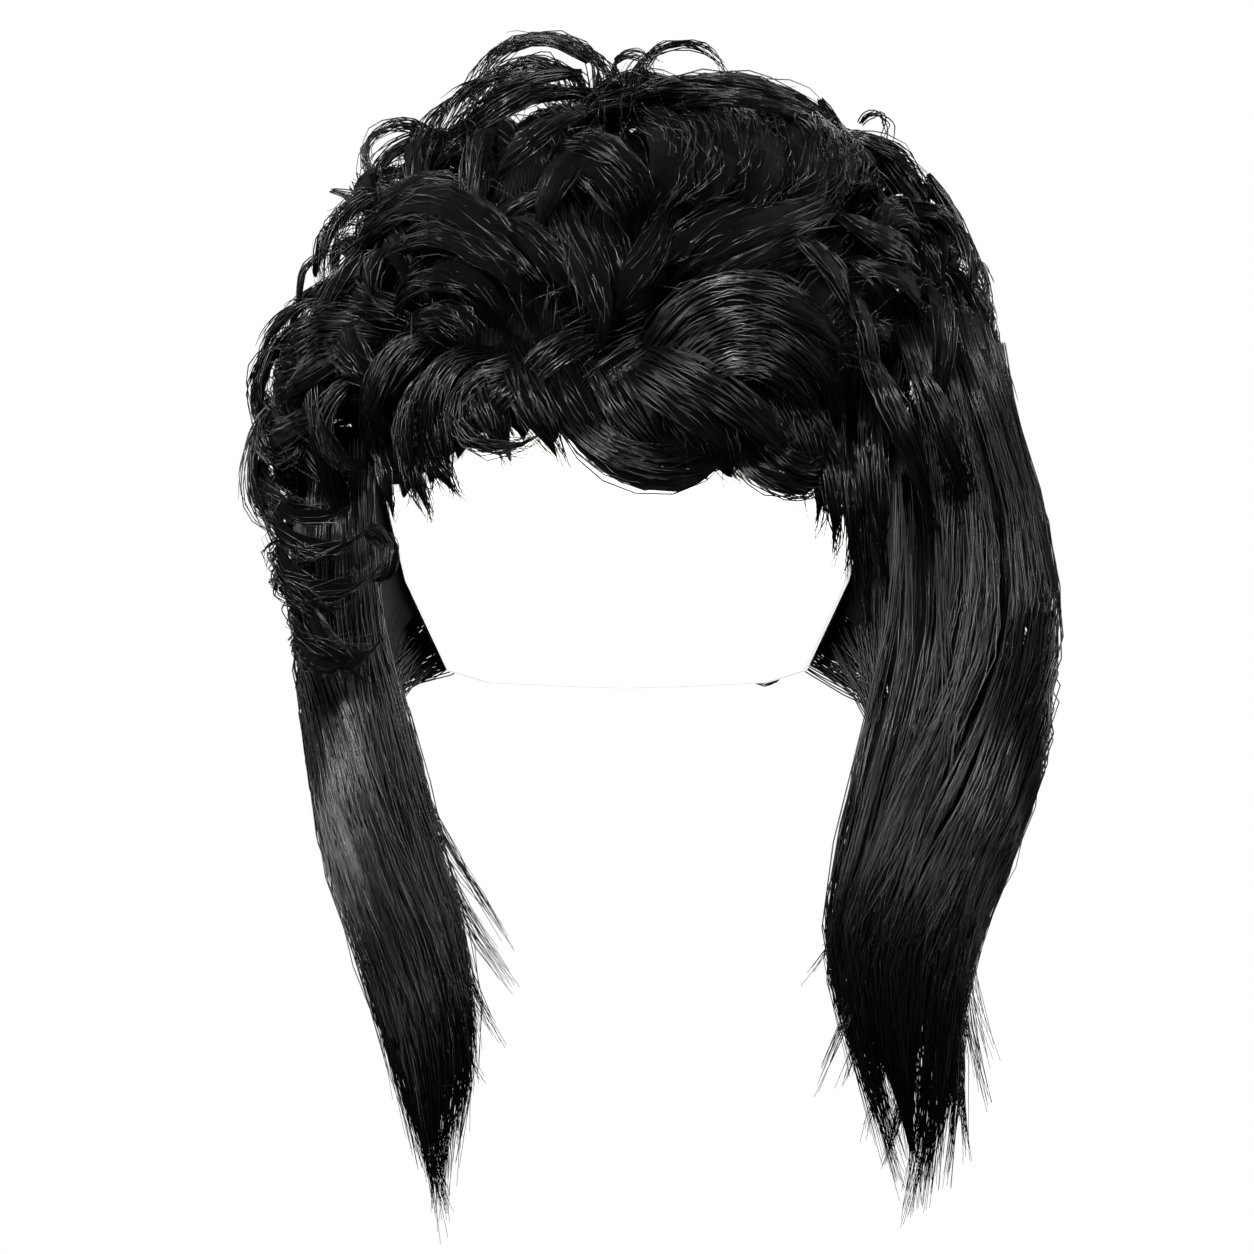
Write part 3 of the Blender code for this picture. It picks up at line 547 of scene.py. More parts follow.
def curl(view, centre, radii, angles, half_width, height, fullness, density=1.0, beside=False):
    """The guide of a lock that is drawn as it shows from one side and laid over the head"""
    turn, lift = (math.radians(angle) for angle in view)
    across, up = centre
    right = Vector((math.cos(turn), math.sin(turn), 0))
    away = Vector((math.sin(turn) * math.cos(lift), -math.cos(turn) * math.cos(lift), math.sin(lift)))
    upward = away.cross(right)
    line = []
    for step in np.linspace(0, 1, GUIDE_POINTS):
        angle = math.radians(angles[0] + angles[1] * step)
        radius = CURL_RADIUS * (radii[0] + (radii[1] - radii[0]) * step)
        drawn = right * (across * reach_along(right) + radius * math.cos(angle))
        drawn += upward * (up * reach_along(upward) + radius * math.sin(angle))
        sway = SWAY * math.sin(9 * across + 5 * up) + SWAY_ALONG * math.sin(math.tau * step + 20 * up)
        place = lay_on_hair(drawn, away, CURL_HEIGHT * height * arch(step, *CURL_RISE), sway)
        line.append(held_back(place) if beside else place)
    for _ in range(BENDS_SOFTENED):
        line[1:-1] = [(near + place * 2 + far) / 4 for near, place, far in zip(line, line[1:], line[2:])]
    strands = round(half_width * 2 * STRANDS_PER_MM * density * (LOOSE_CURL if fullness == 0 else 1))
    return guide_from(line, half_width / 1000, strands, points_for(angles[1]), fullness)


def through(points, count):
    """Evenly numbered points along a smooth line through some points"""
    spots = [Vector(points[0]) * 2 - Vector(points[1])] + [Vector(point) for point in points]
    spots.append(spots[-1] * 2 - spots[-2])
    line = []
    for place in np.linspace(0, len(points) - 1.0001, count):
        k, t = int(place), float(place) % 1
        a, b, c, d = spots[k:k + 4]
        bent = (a * 2 - b * 5 + c * 4 - d) * t * t
        line.append((b * 2 + (c - a) * t + bent + (b * 3 - a - c * 3 + d) * t ** 3) / 2)
    return line


def wave(points, half_width, height, fullness, beside):
    """The guide of a lock that is drawn through points of the photograph, laid over the front of the hair"""
    line = []
    for step, spot in zip(np.linspace(0, 1, GUIDE_POINTS), through(points, GUIDE_POINTS)):
        drawn = Vector(((spot.x - PHOTO_SIDE / 2) * PIXEL, 0, (HEAD_TOP_ROW - spot.y) * PIXEL + HEAD.z))
        place = lay_on_hair(drawn, Vector((0, -1, 0)), CURL_HEIGHT * height * arch(step, *WAVE_RISE))
        line.append(held_back(place) if beside else place)
    strands = round(half_width * 2 * STRANDS_PER_MM * (LOOSE_WAVE if fullness == 0 else 1))
    return guide_from(line, half_width / 1000, strands, points_for(WAVE_SWEEP), fullness)


# The five bundles that the locks make up. A lock belongs to one by the middle of its line, and none is
# laid where the wearer's left length, which starts high, hides it.
CURL_NODES = ("crown_curls", "fringe_curls", "left_side_curls", "right_side_curls", "back_curls")
CROWN_LEVEL = -0.014
FRINGE_AZIMUTH = 52
BACK_AZIMUTH = 130
HIDDEN_SIDE = 0.095
HIDDEN_LEVEL = -0.045


def middle_of(guide):
    """The middle point of a lock's line"""
    return guide["line"][GUIDE_POINTS // 2]


def bundle_of(guide):
    """The bundle of hair that a lock belongs to"""
    point = middle_of(guide)
    azimuth = abs(math.degrees(math.atan2(point.x, -point.y)))
    side = "left" if point.x > 0 else "right"
    if point.z > CROWN_LEVEL:
        return "crown_curls"
    if azimuth < FRINGE_AZIMUTH:
        return "fringe_curls"
    return side + "_side_curls" if azimuth < BACK_AZIMUTH else "back_curls"


def keep_unhidden(guide):
    """Adds a lock to its bundle, unless the wearer's left length hides it"""
    point = middle_of(guide)
    if not (point.x > HIDDEN_SIDE and point.z < HIDDEN_LEVEL):
        locks[bundle_of(guide)].append(guide)


locks = {node: [] for node in CURL_NODES}
for name, across, up, root, tip, angle, sweep, half_width, height, fullness in FRONT_LOCKS:
    beside = name.startswith(BESIDE_FACE)
    guide = curl(
        (0, 0), (across, up), (root, tip), (angle, sweep), half_width, height, fullness, beside=beside
    )
    locks[bundle_of(guide)].append(guide)

for name, points, half_width, height, fullness in FRONT_WAVES:
    guide = wave(points, half_width, height, fullness, name.startswith(BESIDE_FACE))
    guide["strands"] = round(guide["strands"] * (FRINGE_SHARE if name.startswith("fringe_row") else 1))
    locks[bundle_of(guide)].append(guide)

# The rows of locks round the crown, the sides and the back, where the photograph shows no single one:
# elevation, first azimuth, last azimuth, count, radius, sweep, root angle, half width, height
CURL_ROWS = (
    (80, 60, 300, 5, 0.95, 200, 20, 10, 0.85),
    (58, 78, 282, 8, 0.95, 215, 80, 10, 0.90),
    (36, 76, 284, 9, 0.90, 225, 140, 10, 0.92),
    (16, 78, 282, 10, 0.90, 235, 210, 9.5, 0.90),
    (-2, 82, 278, 10, 0.85, 215, 290, 9.0, 0.88),
    (-11, 92, 268, 9, 0.70, 200, 340, 8.0, 0.72),
)
ROW_TURN = 47
ROW_TIP = 0.72
ROW_DENSITY = 0.48
draw = np.random.default_rng(11)
for elevation, first, last, count, radius, sweep, angle, half_width, height in CURL_ROWS:
    for index in range(count):
        azimuth = first + (last - first) * (index + draw.uniform(-0.25, 0.25)) / (count - 1)
        way = 1 if index % 2 else -1
        start = angle + ROW_TURN * index + draw.uniform(-25, 25)
        reach = radius * draw.uniform(0.8, 1.15)
        view = azimuth, elevation + draw.uniform(-5, 5)
        swept = way * sweep * draw.uniform(0.85, 1.2)
        tall = height * draw.uniform(0.92, 1.08)
        keep_unhidden(curl(
            view, (0, 0), (reach, reach * ROW_TIP), (start, swept), half_width, tall, 1.0, ROW_DENSITY
        ))

# The filling locks: short loose curls of every direction under and between the others. They are evenly
# spread, stay off the lower front, and stand taller at the upper corners and lower towards the front.
FILLING_LOCKS = 230
FILLING_REACH = 1.32
FILLING_DENSITY = 0.52
BARE_FRONT = 34
BARE_FALL = 0.4
LEFT_CORNER = 0.50
RIGHT_CORNER = 0.25
FRONT_LOWERING = 0.30
FRONT_AZIMUTH = 75
GOLDEN = math.pi * (3 - math.sqrt(5))


def spread_place(index, count, reach):
    """The azimuth and elevation of one of some evenly spread places, from the top of the head down"""
    return math.degrees(GOLDEN * index) % 360, math.degrees(math.asin(1 - reach * (index + 0.5) / count))


for index in range(FILLING_LOCKS):
    azimuth, elevation = spread_place(index, FILLING_LOCKS, FILLING_REACH)
    inward = from_front(azimuth)
    if elevation < BARE_FRONT - BARE_FALL * inward:
        continue
    reach = draw.uniform(0.45, 1.0)
    way = 1 if draw.random() < 0.5 else -1
    corner = math.sin(math.radians(max(0, elevation)) * 2) * abs(math.sin(math.radians(azimuth)))
    tall = draw.uniform(0.60, 0.85) + (LEFT_CORNER if azimuth < 180 else RIGHT_CORNER) * corner
    tall -= FRONT_LOWERING * max(0, 1 - inward / FRONT_AZIMUTH)
    tip = reach * draw.uniform(0.5, 0.9)
    angles = draw.uniform(0, 360), way * draw.uniform(90, 220)
    keep_unhidden(curl(
        (azimuth, elevation), (0, 0), (reach, tip), angles, draw.uniform(5, 9), tall, 1.0, FILLING_DENSITY
    ))

# The strands: single hairs along a lock's guide, spread over its width, gathered to its tip in a few
# families, each with its own length, bend and shade. Each is a thin closed tube of three sides.
ENDING_POWER = 1.2
GATHER_POWER = 1.5
STRAY_POWER = 12.0
PACKING_POWER = 0.35
DOMING = 1.3
FAMILY_POWER = 0.5
FAMILY_STRIDE = 37.0
FRIZZ_GROWTH = 3.0
WANDER_START = 0.4
WANDER_GROWTH = 1.6
TAPER_POWER = 4.0
TAPER_DEPTH = 0.7


def guide_mesh(name, guides):
    """The middle lines of locks as loose edges that carry each lock's widths and counts"""
    counts = [len(guide["line"]) for guide in guides]
    mesh = bpy.data.meshes.new(name)
    starts = np.concatenate(([0], np.cumsum(counts)[:-1]))
    edges = [(start + k, start + k + 1) for start, count in zip(starts, counts) for k in range(count - 1)]
    mesh.from_pydata([tuple(point) for guide in guides for point in guide["line"]], edges, [])
    for key in ("across", "out"):
        values = mesh.attributes.new(key, "FLOAT_VECTOR", "POINT")
        values.data.foreach_set("vector", np.array([v for guide in guides for v in guide[key]]).ravel())
    for key, kind in (("strands", "INT"), ("points", "INT"), ("twist", "FLOAT")):
        values = mesh.attributes.new(key, kind, "POINT")
        values.data.foreach_set("value", np.repeat([guide[key] for guide in guides], counts))
    values = mesh.attributes.new("lock", "INT", "POINT")
    values.data.foreach_set("value", np.repeat(np.arange(len(guides)), counts))
    return mesh


def maths(tree, operation, *values):
    """A maths node's result"""
    return add(tree, "ShaderNodeMath", enumerate(values), operation=operation).outputs[0]


def vectors(tree, operation, first, second):
    """A vector maths node's result, where a scale takes a number second"""
    values = {0: first, "Scale" if operation == "SCALE" else 1: second}
    return add(tree, "ShaderNodeVectorMath", values, operation=operation).outputs["Vector"]


def stored(tree, name, kind="FLOAT"):
    """The value that the guides or the strands carry under a name"""
    return add(tree, "GeometryNodeInputNamedAttribute", {"Name": name}, data_type=kind).outputs["Attribute"]


def shaken(tree, position, offset, scale, amount):
    """A shift by a noise that is taken at an offset from the position"""
    spot = vectors(tree, "ADD", position, add(tree, "ShaderNodeCombineXYZ", offset).outputs[0])
    noise = add(tree, "ShaderNodeTexNoise", {"Vector": spot, "Scale": scale}, noise_dimensions="3D")
    centred = vectors(tree, "SUBTRACT", noise.outputs["Color"], (0.5, 0.5, 0.5))
    return vectors(tree, "SCALE", centred, amount)


def strand_tree():
    """Lays a lock's strands along its guide, spread over its width, gathered to its tip, each with its end"""
    tree = bpy.data.node_groups.new("strands along locks", "GeometryNodeTree")
    sockets = (
        ("Guides", "NodeSocketGeometry", None),
        ("Hair Radius", "NodeSocketFloat", 0.00025),
        ("Frizz", "NodeSocketFloat", 0.0028),
        ("Frizz Scale", "NodeSocketFloat", 30.0),
        ("Wander", "NodeSocketFloat", 0.006),
        ("Wander Scale", "NodeSocketFloat", 16.0),
        ("Spread", "NodeSocketFloat", 1.0),
        ("Gathering", "NodeSocketFloat", 0.8),
        ("Shortest", "NodeSocketFloat", 0.4),
        ("Families", "NodeSocketInt", 6),
        ("Stray", "NodeSocketFloat", 0.5),
        ("Seed", "NodeSocketInt", 1),
        ("Finish", "NodeSocketMaterial", None),
    )
    for name, kind, value in sockets:
        socket = tree.interface.new_socket(name, in_out="INPUT", socket_type=kind)
        if value is not None:
            socket.default_value = value
    tree.interface.new_socket("Strands", in_out="OUTPUT", socket_type="NodeSocketGeometry")
    given = add(tree, "NodeGroupInput").outputs
    curves = add(tree, "GeometryNodeMeshToCurve", {0: given["Guides"]})
    copied = {"Geometry": curves.outputs[0], "Amount": stored(tree, "strands", "INT")}
    flow = add(tree, "GeometryNodeDuplicateElements", copied, domain="SPLINE").outputs["Geometry"]
    index = add(tree, "GeometryNodeInputIndex").outputs[0]
    family = maths(tree, "FLOOR", maths(tree, "MULTIPLY", stored(tree, "family pick"), given["Families"]))
    family_number = maths(tree, "MULTIPLY_ADD", stored(tree, "lock", "INT"), FAMILY_STRIDE, family)
    for offset, (name, identity) in enumerate((
        ("family pick", index),
        ("turn", index),
        ("reach", index),
        ("ending", index),
        ("tint", index),
        ("family turn", family_number),
        ("family reach", family_number),
    )):
        seed = maths(tree, "ADD", given["Seed"], float(offset))
        chance = add(tree, "FunctionNodeRandomValue", {"ID": identity, "Seed": seed}, data_type="FLOAT")
        kept = {"Name": name, "Geometry": flow, "Value": chance.outputs[1]}
        keep = add(tree, "GeometryNodeStoreNamedAttribute", kept, domain="CURVE", data_type="FLOAT")
        flow = keep.outputs["Geometry"]
    spare = maths(tree, "SUBTRACT", 1.0, given["Shortest"])
    shortening = maths(tree, "MULTIPLY", spare, maths(tree, "POWER", stored(tree, "ending"), ENDING_POWER))
    trim = add(tree, "GeometryNodeTrimCurve", mode="FACTOR")
    feed(tree, trim.inputs["Curve"], flow)
    feed(tree, trim.inputs["End"], maths(tree, "SUBTRACT", 1.0, shortening))
    resampled = {"Curve": trim.outputs["Curve"], "Count": stored(tree, "points", "INT")}
    resample = add(tree, "GeometryNodeResampleCurve", resampled)
    step = add(tree, "GeometryNodeSplineParameter").outputs["Factor"]
    gather = maths(tree, "MULTIPLY", given["Gathering"], maths(tree, "POWER", step, GATHER_POWER))
    twist = maths(tree, "MULTIPLY", stored(tree, "twist"), step)
    own_turn = maths(tree, "MULTIPLY_ADD", stored(tree, "turn"), math.tau, twist)
    stray = maths(tree, "MULTIPLY", maths(tree, "POWER", stored(tree, "tint"), STRAY_POWER), given["Stray"])
    own_reach = maths(tree, "ADD", maths(tree, "POWER", stored(tree, "reach"), PACKING_POWER), stray)
    family_turn = maths(tree, "MULTIPLY_ADD", stored(tree, "family turn"), math.tau, twist)
    family_reach = maths(tree, "POWER", stored(tree, "family reach"), FAMILY_POWER)
    sides = []
    for wave in ("COSINE", "SINE"):
        round_way = maths(tree, wave, own_turn)
        if wave == "SINE":
            outward = maths(tree, "ABSOLUTE", round_way)
            round_way = maths(tree, "MULTIPLY_ADD", outward, DOMING, 1 - DOMING)
        own = maths(tree, "MULTIPLY", own_reach, round_way)
        shared = maths(tree, "MULTIPLY", family_reach, maths(tree, wave, family_turn))
        mixed = maths(tree, "MULTIPLY_ADD", maths(tree, "SUBTRACT", shared, own), gather, own)
        sides.append(maths(tree, "MULTIPLY", mixed, given["Spread"]))
    shift = vectors(
        tree,
        "ADD",
        vectors(tree, "SCALE", stored(tree, "across", "FLOAT_VECTOR"), sides[0]),
        vectors(tree, "SCALE", stored(tree, "out", "FLOAT_VECTOR"), sides[1]),
    )
    position = add(tree, "GeometryNodeInputPosition").outputs[0]
    apart = {
        "X": maths(tree, "MULTIPLY", stored(tree, "tint"), 3.0),
        "Y": maths(tree, "MULTIPLY", stored(tree, "turn"), 0.12),
        "Z": maths(tree, "MULTIPLY", stored(tree, "family turn"), 2.0),
    }
    growth = maths(tree, "MULTIPLY", given["Frizz"], maths(tree, "MULTIPLY_ADD", step, FRIZZ_GROWTH, 1.0))
    shift = vectors(tree, "ADD", shift, shaken(tree, position, apart, given["Frizz Scale"], growth))
    together = {
        "X": maths(tree, "MULTIPLY", stored(tree, "family turn"), 7.0),
        "Y": maths(tree, "MULTIPLY", stored(tree, "family reach"), 5.0),
    }
    swing = maths(tree, "MULTIPLY_ADD", step, WANDER_GROWTH, WANDER_START)
    swing = maths(tree, "MULTIPLY", given["Wander"], swing)
    shift = vectors(tree, "ADD", shift, shaken(tree, position, together, given["Wander Scale"], swing))
    moved = add(tree, "GeometryNodeSetPosition", {"Geometry": resample.outputs["Curve"], "Offset": shift})
    thinning = maths(tree, "MULTIPLY", maths(tree, "POWER", step, TAPER_POWER), TAPER_DEPTH)
    taper = maths(tree, "SUBTRACT", 1.0, thinning)
    thin = add(tree, "GeometryNodeSetCurveRadius", {
        "Curve": moved.outputs["Geometry"],
        "Radius": maths(tree, "MULTIPLY", given["Hair Radius"], taper),
    })
    profile = add(tree, "GeometryNodeCurvePrimitiveCircle", {"Resolution": 3, "Radius": 1.0})
    body = add(tree, "GeometryNodeCurveToMesh", {
        "Curve": thin.outputs["Curve"],
        "Profile Curve": profile.outputs["Curve"],
        "Fill Caps": True,
        "Scale": add(tree, "GeometryNodeInputRadius").outputs[0],
    })
    smooth = add(tree, "GeometryNodeSetShadeSmooth", {"Geometry": body.outputs["Mesh"]})
    real = add(tree, "GeometryNodeRealizeInstances", {"Geometry": smooth.outputs["Geometry"]})
    painted = add(tree, "GeometryNodeSetMaterial", {
        "Geometry": real.outputs["Geometry"],
        "Material": given["Finish"],
    })
    add(tree, "NodeGroupOutput", {0: painted.outputs["Geometry"]})
    return tree


strand_nodes = strand_tree()
input_of = {
    item.name: item.identifier for item in strand_nodes.interface.items_tree if item.in_out == "INPUT"
}


def strand_piece(name, guides, finish, **settings):
    """A plain mesh of every strand along some guides"""
    maker = linked_object(name, guide_mesh(name, guides))
    lay = maker.modifiers.new("strands", "NODES")
    lay.node_group = strand_nodes
    for key, value in settings.items():
        lay[input_of[key.replace("_", " ")]] = value
    lay[input_of["Finish"]] = finish
    bpy.context.view_layer.update()
    mesh = bpy.data.meshes.new_from_object(maker.evaluated_get(bpy.context.evaluated_depsgraph_get()))
    bpy.data.objects.remove(maker)
    mesh.name = name
    for key in [item.name for item in mesh.attributes if not item.is_internal and not item.is_required]:
        if key not in ("tint", "material_index", "sharp_face"):
            mesh.attributes.remove(mesh.attributes[key])
    return linked_object(name, mesh)


strand_finish, tree, shader = finish_of("black synthetic strands", {"Roughness": 0.26, "IOR": 1.5})
tint = add(tree, "ShaderNodeAttribute", attribute_name="tint").outputs["Fac"]
shaded(tree, shader, tint, (0.0008, 0.0008, 0.001, 1), (0.0045, 0.004, 0.0045, 1))

# The hearts: the imported inner hair of a full lock, which no light gets through. Its black is set darker
# than the strands' own, as painted shade between them. Each is one closed flat tube inside the strands, with
# fine streaks along it in the finish.
HEART_SHARE = 0.55
HEART_SIDES = 8
HEART_RINGS = 10
HEART_END = 0.92
HEART_POINT = 0.9
HEART_STREAKS = (95, 2.6, 1)
HEART_RELIEF = 0.0016
HEART_PAINTED_SHADES = (0.0003, 0.0003, 0.0004, 1), (0.0015, 0.0014, 0.0015, 1)


def skin(shape, lay, rings, turns, shift=0.0):
    """The closed skin over some rings, with a map that runs round it in some turns and once along it"""
    count = len(rings[0])
    for row, (near, far) in enumerate(zip(rings, rings[1:])):
        for k in range(count):
            after = (k + 1) % count
            face = shape.faces.new((near[k], far[k], far[after], near[after]))
            for loop, (u, v) in zip(face.loops, ((k, row), (k, row + 1), (k + 1, row + 1), (k + 1, row))):
                loop[lay].uv = (u / count * turns + shift, v / len(rings))
    shape.faces.new(reversed(rings[0]))
    shape.faces.new(rings[-1])


def lock_bodies(name, guides, finish):
    """The solid hearts of the full locks among some guides"""
    shape = bmesh.new()
    lay = shape.loops.layers.uv.new("lay")
    turns = [math.tau * k / HEART_SIDES for k in range(HEART_SIDES)]
    for number, guide in enumerate(guide for guide in guides if guide["fullness"] > 0):
        rings = []
        for row in range(HEART_RINGS):
            step = row / (HEART_RINGS - 1)
            at = round((len(guide["line"]) - 1) * HEART_END * row / (HEART_RINGS - 1))
            size = HEART_SHARE * (1 - HEART_POINT * step ** 4)
            place, wide, deep = guide["line"][at], guide["across"][at] * size, guide["out"][at] * size
            ring = [place + wide * math.cos(turn) + deep * math.sin(turn) for turn in turns]
            rings.append([shape.verts.new(point) for point in ring])
        skin(shape, lay, rings, 1, number * 0.37)
    return smooth_object(name, shape, finish)


heart_shade_finish, tree, shader = finish_of("packed black strands", {"Roughness": 0.5, "Specular IOR Level": 0.08})
lay = add(tree, "ShaderNodeUVMap", uv_map="lay").outputs["UV"]
stretch = add(tree, "ShaderNodeMapping", {"Vector": lay, "Scale": HEART_STREAKS}).outputs["Vector"]
streak_values = {"Vector": stretch, "Scale": 1.0, "Detail": 5, "Roughness": 0.7}
streaks = add(tree, "ShaderNodeTexNoise", streak_values).outputs["Fac"]
shaded(tree, shader, streaks, *HEART_PAINTED_SHADES, 0.42, 0.62)
raised(tree, shader, streaks, 1.0, HEART_RELIEF)

# The flyaways: single loose hairs that cross the locks in every direction and stand out of the outline.
# They stay off the lower front, the sides below the ears' tops and the nape.
FLYAWAY_GROUPS = 380
FLYAWAY_REACH = 1.25
FLYAWAY_LEFT = 12
FLYAWAY_RIGHT = 8
FLYAWAY_FRONT = 30
FLYAWAY_WIDTH = 5
FLYAWAY_STRANDS = 3
FLYAWAY_POINTS = 9
flying = {node: [] for node in CURL_NODES}
for index in range(FLYAWAY_GROUPS):
    azimuth, elevation = spread_place(index, FLYAWAY_GROUPS, FLYAWAY_REACH)
    beside = FLYAWAY_LEFT if azimuth < 180 else FLYAWAY_RIGHT
    if elevation < max(beside, FLYAWAY_FRONT - BARE_FALL * from_front(azimuth)):
        continue
    reach = draw.uniform(0.35, 1.2 if elevation > 8 else 0.55)
    way = 1 if draw.random() < 0.5 else -1
    centre = draw.uniform(-0.2, 0.2), draw.uniform(-0.2, 0.2)
    radii = reach, reach * draw.uniform(0.7, 1.1)
    angles = draw.uniform(0, 360), way * draw.uniform(50, 140)
    guide = curl((azimuth, elevation), centre, radii, angles, FLYAWAY_WIDTH, draw.uniform(0.88, 1.06), 0)
    guide["strands"] = FLYAWAY_STRANDS
    guide["points"] = FLYAWAY_POINTS
    flying[bundle_of(guide)].append(guide)

for seed, node in enumerate(CURL_NODES):
    title = node.replace("_curls", "")
    hearts = lock_bodies(title + "_lock_hearts", locks[node], heart_shade_finish)
    halves = {title + "_strands": locks[node]}
    if node == "crown_curls":
        before = [guide for guide in locks[node] if middle_of(guide).y < 0]
        halves = {
            "crown_front_strands": before,
            "crown_back_strands": [guide for guide in locks[node] if guide not in before],
        }
    hair = [
        strand_piece(name, guides, strand_finish, Seed=seed * 10 + 1 + half)
        for half, (name, guides) in enumerate(halves.items())
    ]
    loose = strand_piece(
        title + "_flyaways", flying[node], strand_finish, Seed=seed * 10 + 7, Hair_Radius=0.00011,
        Frizz=0.005, Spread=1.6, Gathering=0.0, Wander=0.005, Stray=0.0,
    )
    for piece in (hearts, *hair, loose):
        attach(piece, "root")
        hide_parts(node)
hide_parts(*CURL_NODES)

# The two lengths: straight hair, parted at the nape and brought forward past the neck on each side, so it
# hangs in front of the shoulders and ends in a few thin points. Each level of a length runs from a front
# azimuth to a back one, between an inner and an outer radius, in shares of the same sizes as the solid's.
LENGTH_DROP = 0.313
LEFT_SPREAD = 0.132
RIGHT_SPREAD = 0.104
NAPE_SPREAD = 0.101
# drop, front azimuth, back azimuth, inner radius, outer radius, outer radius behind
LEFT_SECTIONS = (
    (0.10, 56, 140, 1.00, 0.84, 0.94),
    (0.22, 60, 178, 0.95, 0.92, 0.95),
    (0.30, 60, 176, 0.92, 0.99, 1.00),
    (0.39, 59, 170, 0.90, 1.03, 1.00),
    (0.45, 58, 150, 0.89, 1.03, 0.98),
    (0.48, 57, 122, 0.88, 1.02, 0.96),
    (0.52, 56, 108, 0.86, 1.01, 0.98),
    (0.58, 52, 104, 0.82, 0.98, 1.05),
    (0.65, 49, 98, 0.79, 0.93, 1.05),
    (0.72, 46, 93, 0.77, 0.86, 1.03),
    (0.80, 50, 90, 0.86, 0.82, 1.00),
    (0.86, 53, 86, 0.96, 0.81, 0.99),
    (0.95, 62, 80, 1.10, 0.76, 0.95),
    (1.00, 67, 74, 1.18, 0.73, 0.92),
)
RIGHT_SECTIONS = (
    (0.10, 66, 150, 1.00, 0.90, 0.94),
    (0.22, 66, 178, 0.92, 0.95, 0.95),
    (0.30, 62, 176, 0.92, 0.99, 0.99),
    (0.39, 60, 170, 0.90, 1.00, 1.00),
    (0.45, 59, 150, 0.89, 0.98, 0.97),
    (0.48, 57, 122, 0.87, 0.97, 0.96),
    (0.52, 55, 106, 0.84, 0.96, 0.93),
    (0.58, 52, 102, 0.79, 0.95, 0.93),
    (0.65, 47, 93, 0.76, 0.92, 0.90),
    (0.72, 42, 84, 0.73, 0.88, 0.86),
    (0.80, 40, 78, 0.76, 0.81, 0.80),
    (0.86, 42, 74, 0.80, 0.75, 0.75),
    (0.95, 48, 64, 0.88, 0.70, 0.70),
    (1.00, 51, 57, 0.92, 0.68, 0.68),
)
# The thin points that stand out of a length: where one leaves it (across, drop), where its tip hangs
# (metres to the side and down), how many strands and the half width in millimetres
LEFT_POINTS = (
    (0.45, 0.70, 0.0837, 0.3130, 64, 4.5),
    (0.30, 0.66, 0.0770, 0.2950, 54, 4.5),
    (0.62, 0.68, 0.0986, 0.3040, 60, 4.5),
    (0.52, 0.66, 0.0920, 0.3000, 54, 5.0),
    (0.75, 0.66, 0.1060, 0.2950, 52, 4.0),
    (0.88, 0.64, 0.1110, 0.2806, 42, 3.5),
    (0.93, 0.60, 0.1160, 0.2700, 22, 3.0),
    (0.16, 0.62, 0.0700, 0.2860, 50, 4.0),
    (0.04, 0.56, 0.0552, 0.2744, 26, 2.5),
    (0.03, 0.54, 0.0530, 0.2420, 26, 2.5),
    (0.08, 0.58, 0.0640, 0.2700, 38, 3.5),
)
RIGHT_POINTS = (
    (0.50, 0.68, 0.0543, 0.3116, 60, 5.0),
    (0.40, 0.70, 0.0560, 0.3000, 50, 5.0),
    (0.62, 0.68, 0.0590, 0.2980, 40, 4.0),
    (0.30, 0.66, 0.0490, 0.2900, 36, 4.0),
    (0.16, 0.62, 0.0440, 0.2700, 26, 3.0),
    (0.04, 0.54, 0.0332, 0.2420, 28, 3.0),
    (0.03, 0.56, 0.0370, 0.2600, 24, 2.5),
    (0.02, 0.50, 0.0345, 0.2290, 28, 2.5),
    (0.10, 0.60, 0.0400, 0.2550, 22, 3.0),
)
LENGTH_LOCKS = 84
LENGTH_STRANDS = 17
LENGTH_POINTS = 10
LENGTH_WIDTH = 0.0045
LENGTH_TWIST = 0.2
LENGTH_DEPTHS = (0.98, 0.80, 1.0, 0.12)
LENGTH_MARGIN = 0.01
LENGTH_REACH = 0.91
LENGTH_BORDER = 0.90
LENGTH_START = 0.24
LENGTH_HIGH_START = 0.11
LENGTH_END = 1.02
LENGTH_SLANT = 0.20
LENGTH_CLOSING = 0.25
LENGTH_STEP = 0.618
LENGTH_BIAS = 1.15
TIP_POINTS = 11
TIP_BACK = -0.012
TIP_BOW = 0.004
CAP_CLEARANCE = 0.0022
STRAND_CLEARANCE = 0.005
NAPE_LEVEL = -0.152


def clear_of_cap(point, clearance):
    """The point, moved out level where it would lie in the cap or nearer to it than the clearance"""
    level = point.z - HEAD_CENTRE.z
    wall = CAP_WALL + clearance
    half = (HEAD.z if level > 0 else HEAD_FALL) + wall
    if point.z < NAPE_LEVEL or abs(level) >= half:
        return point
    flat = Vector((HEAD.x + wall, HEAD.y + wall)) * (1 - (level / half) ** 2) ** 0.5
    share = math.hypot(point.x / flat.x, point.y / flat.y)
    return point if share >= 1 else Vector((point.x / share, point.y / share, point.z))


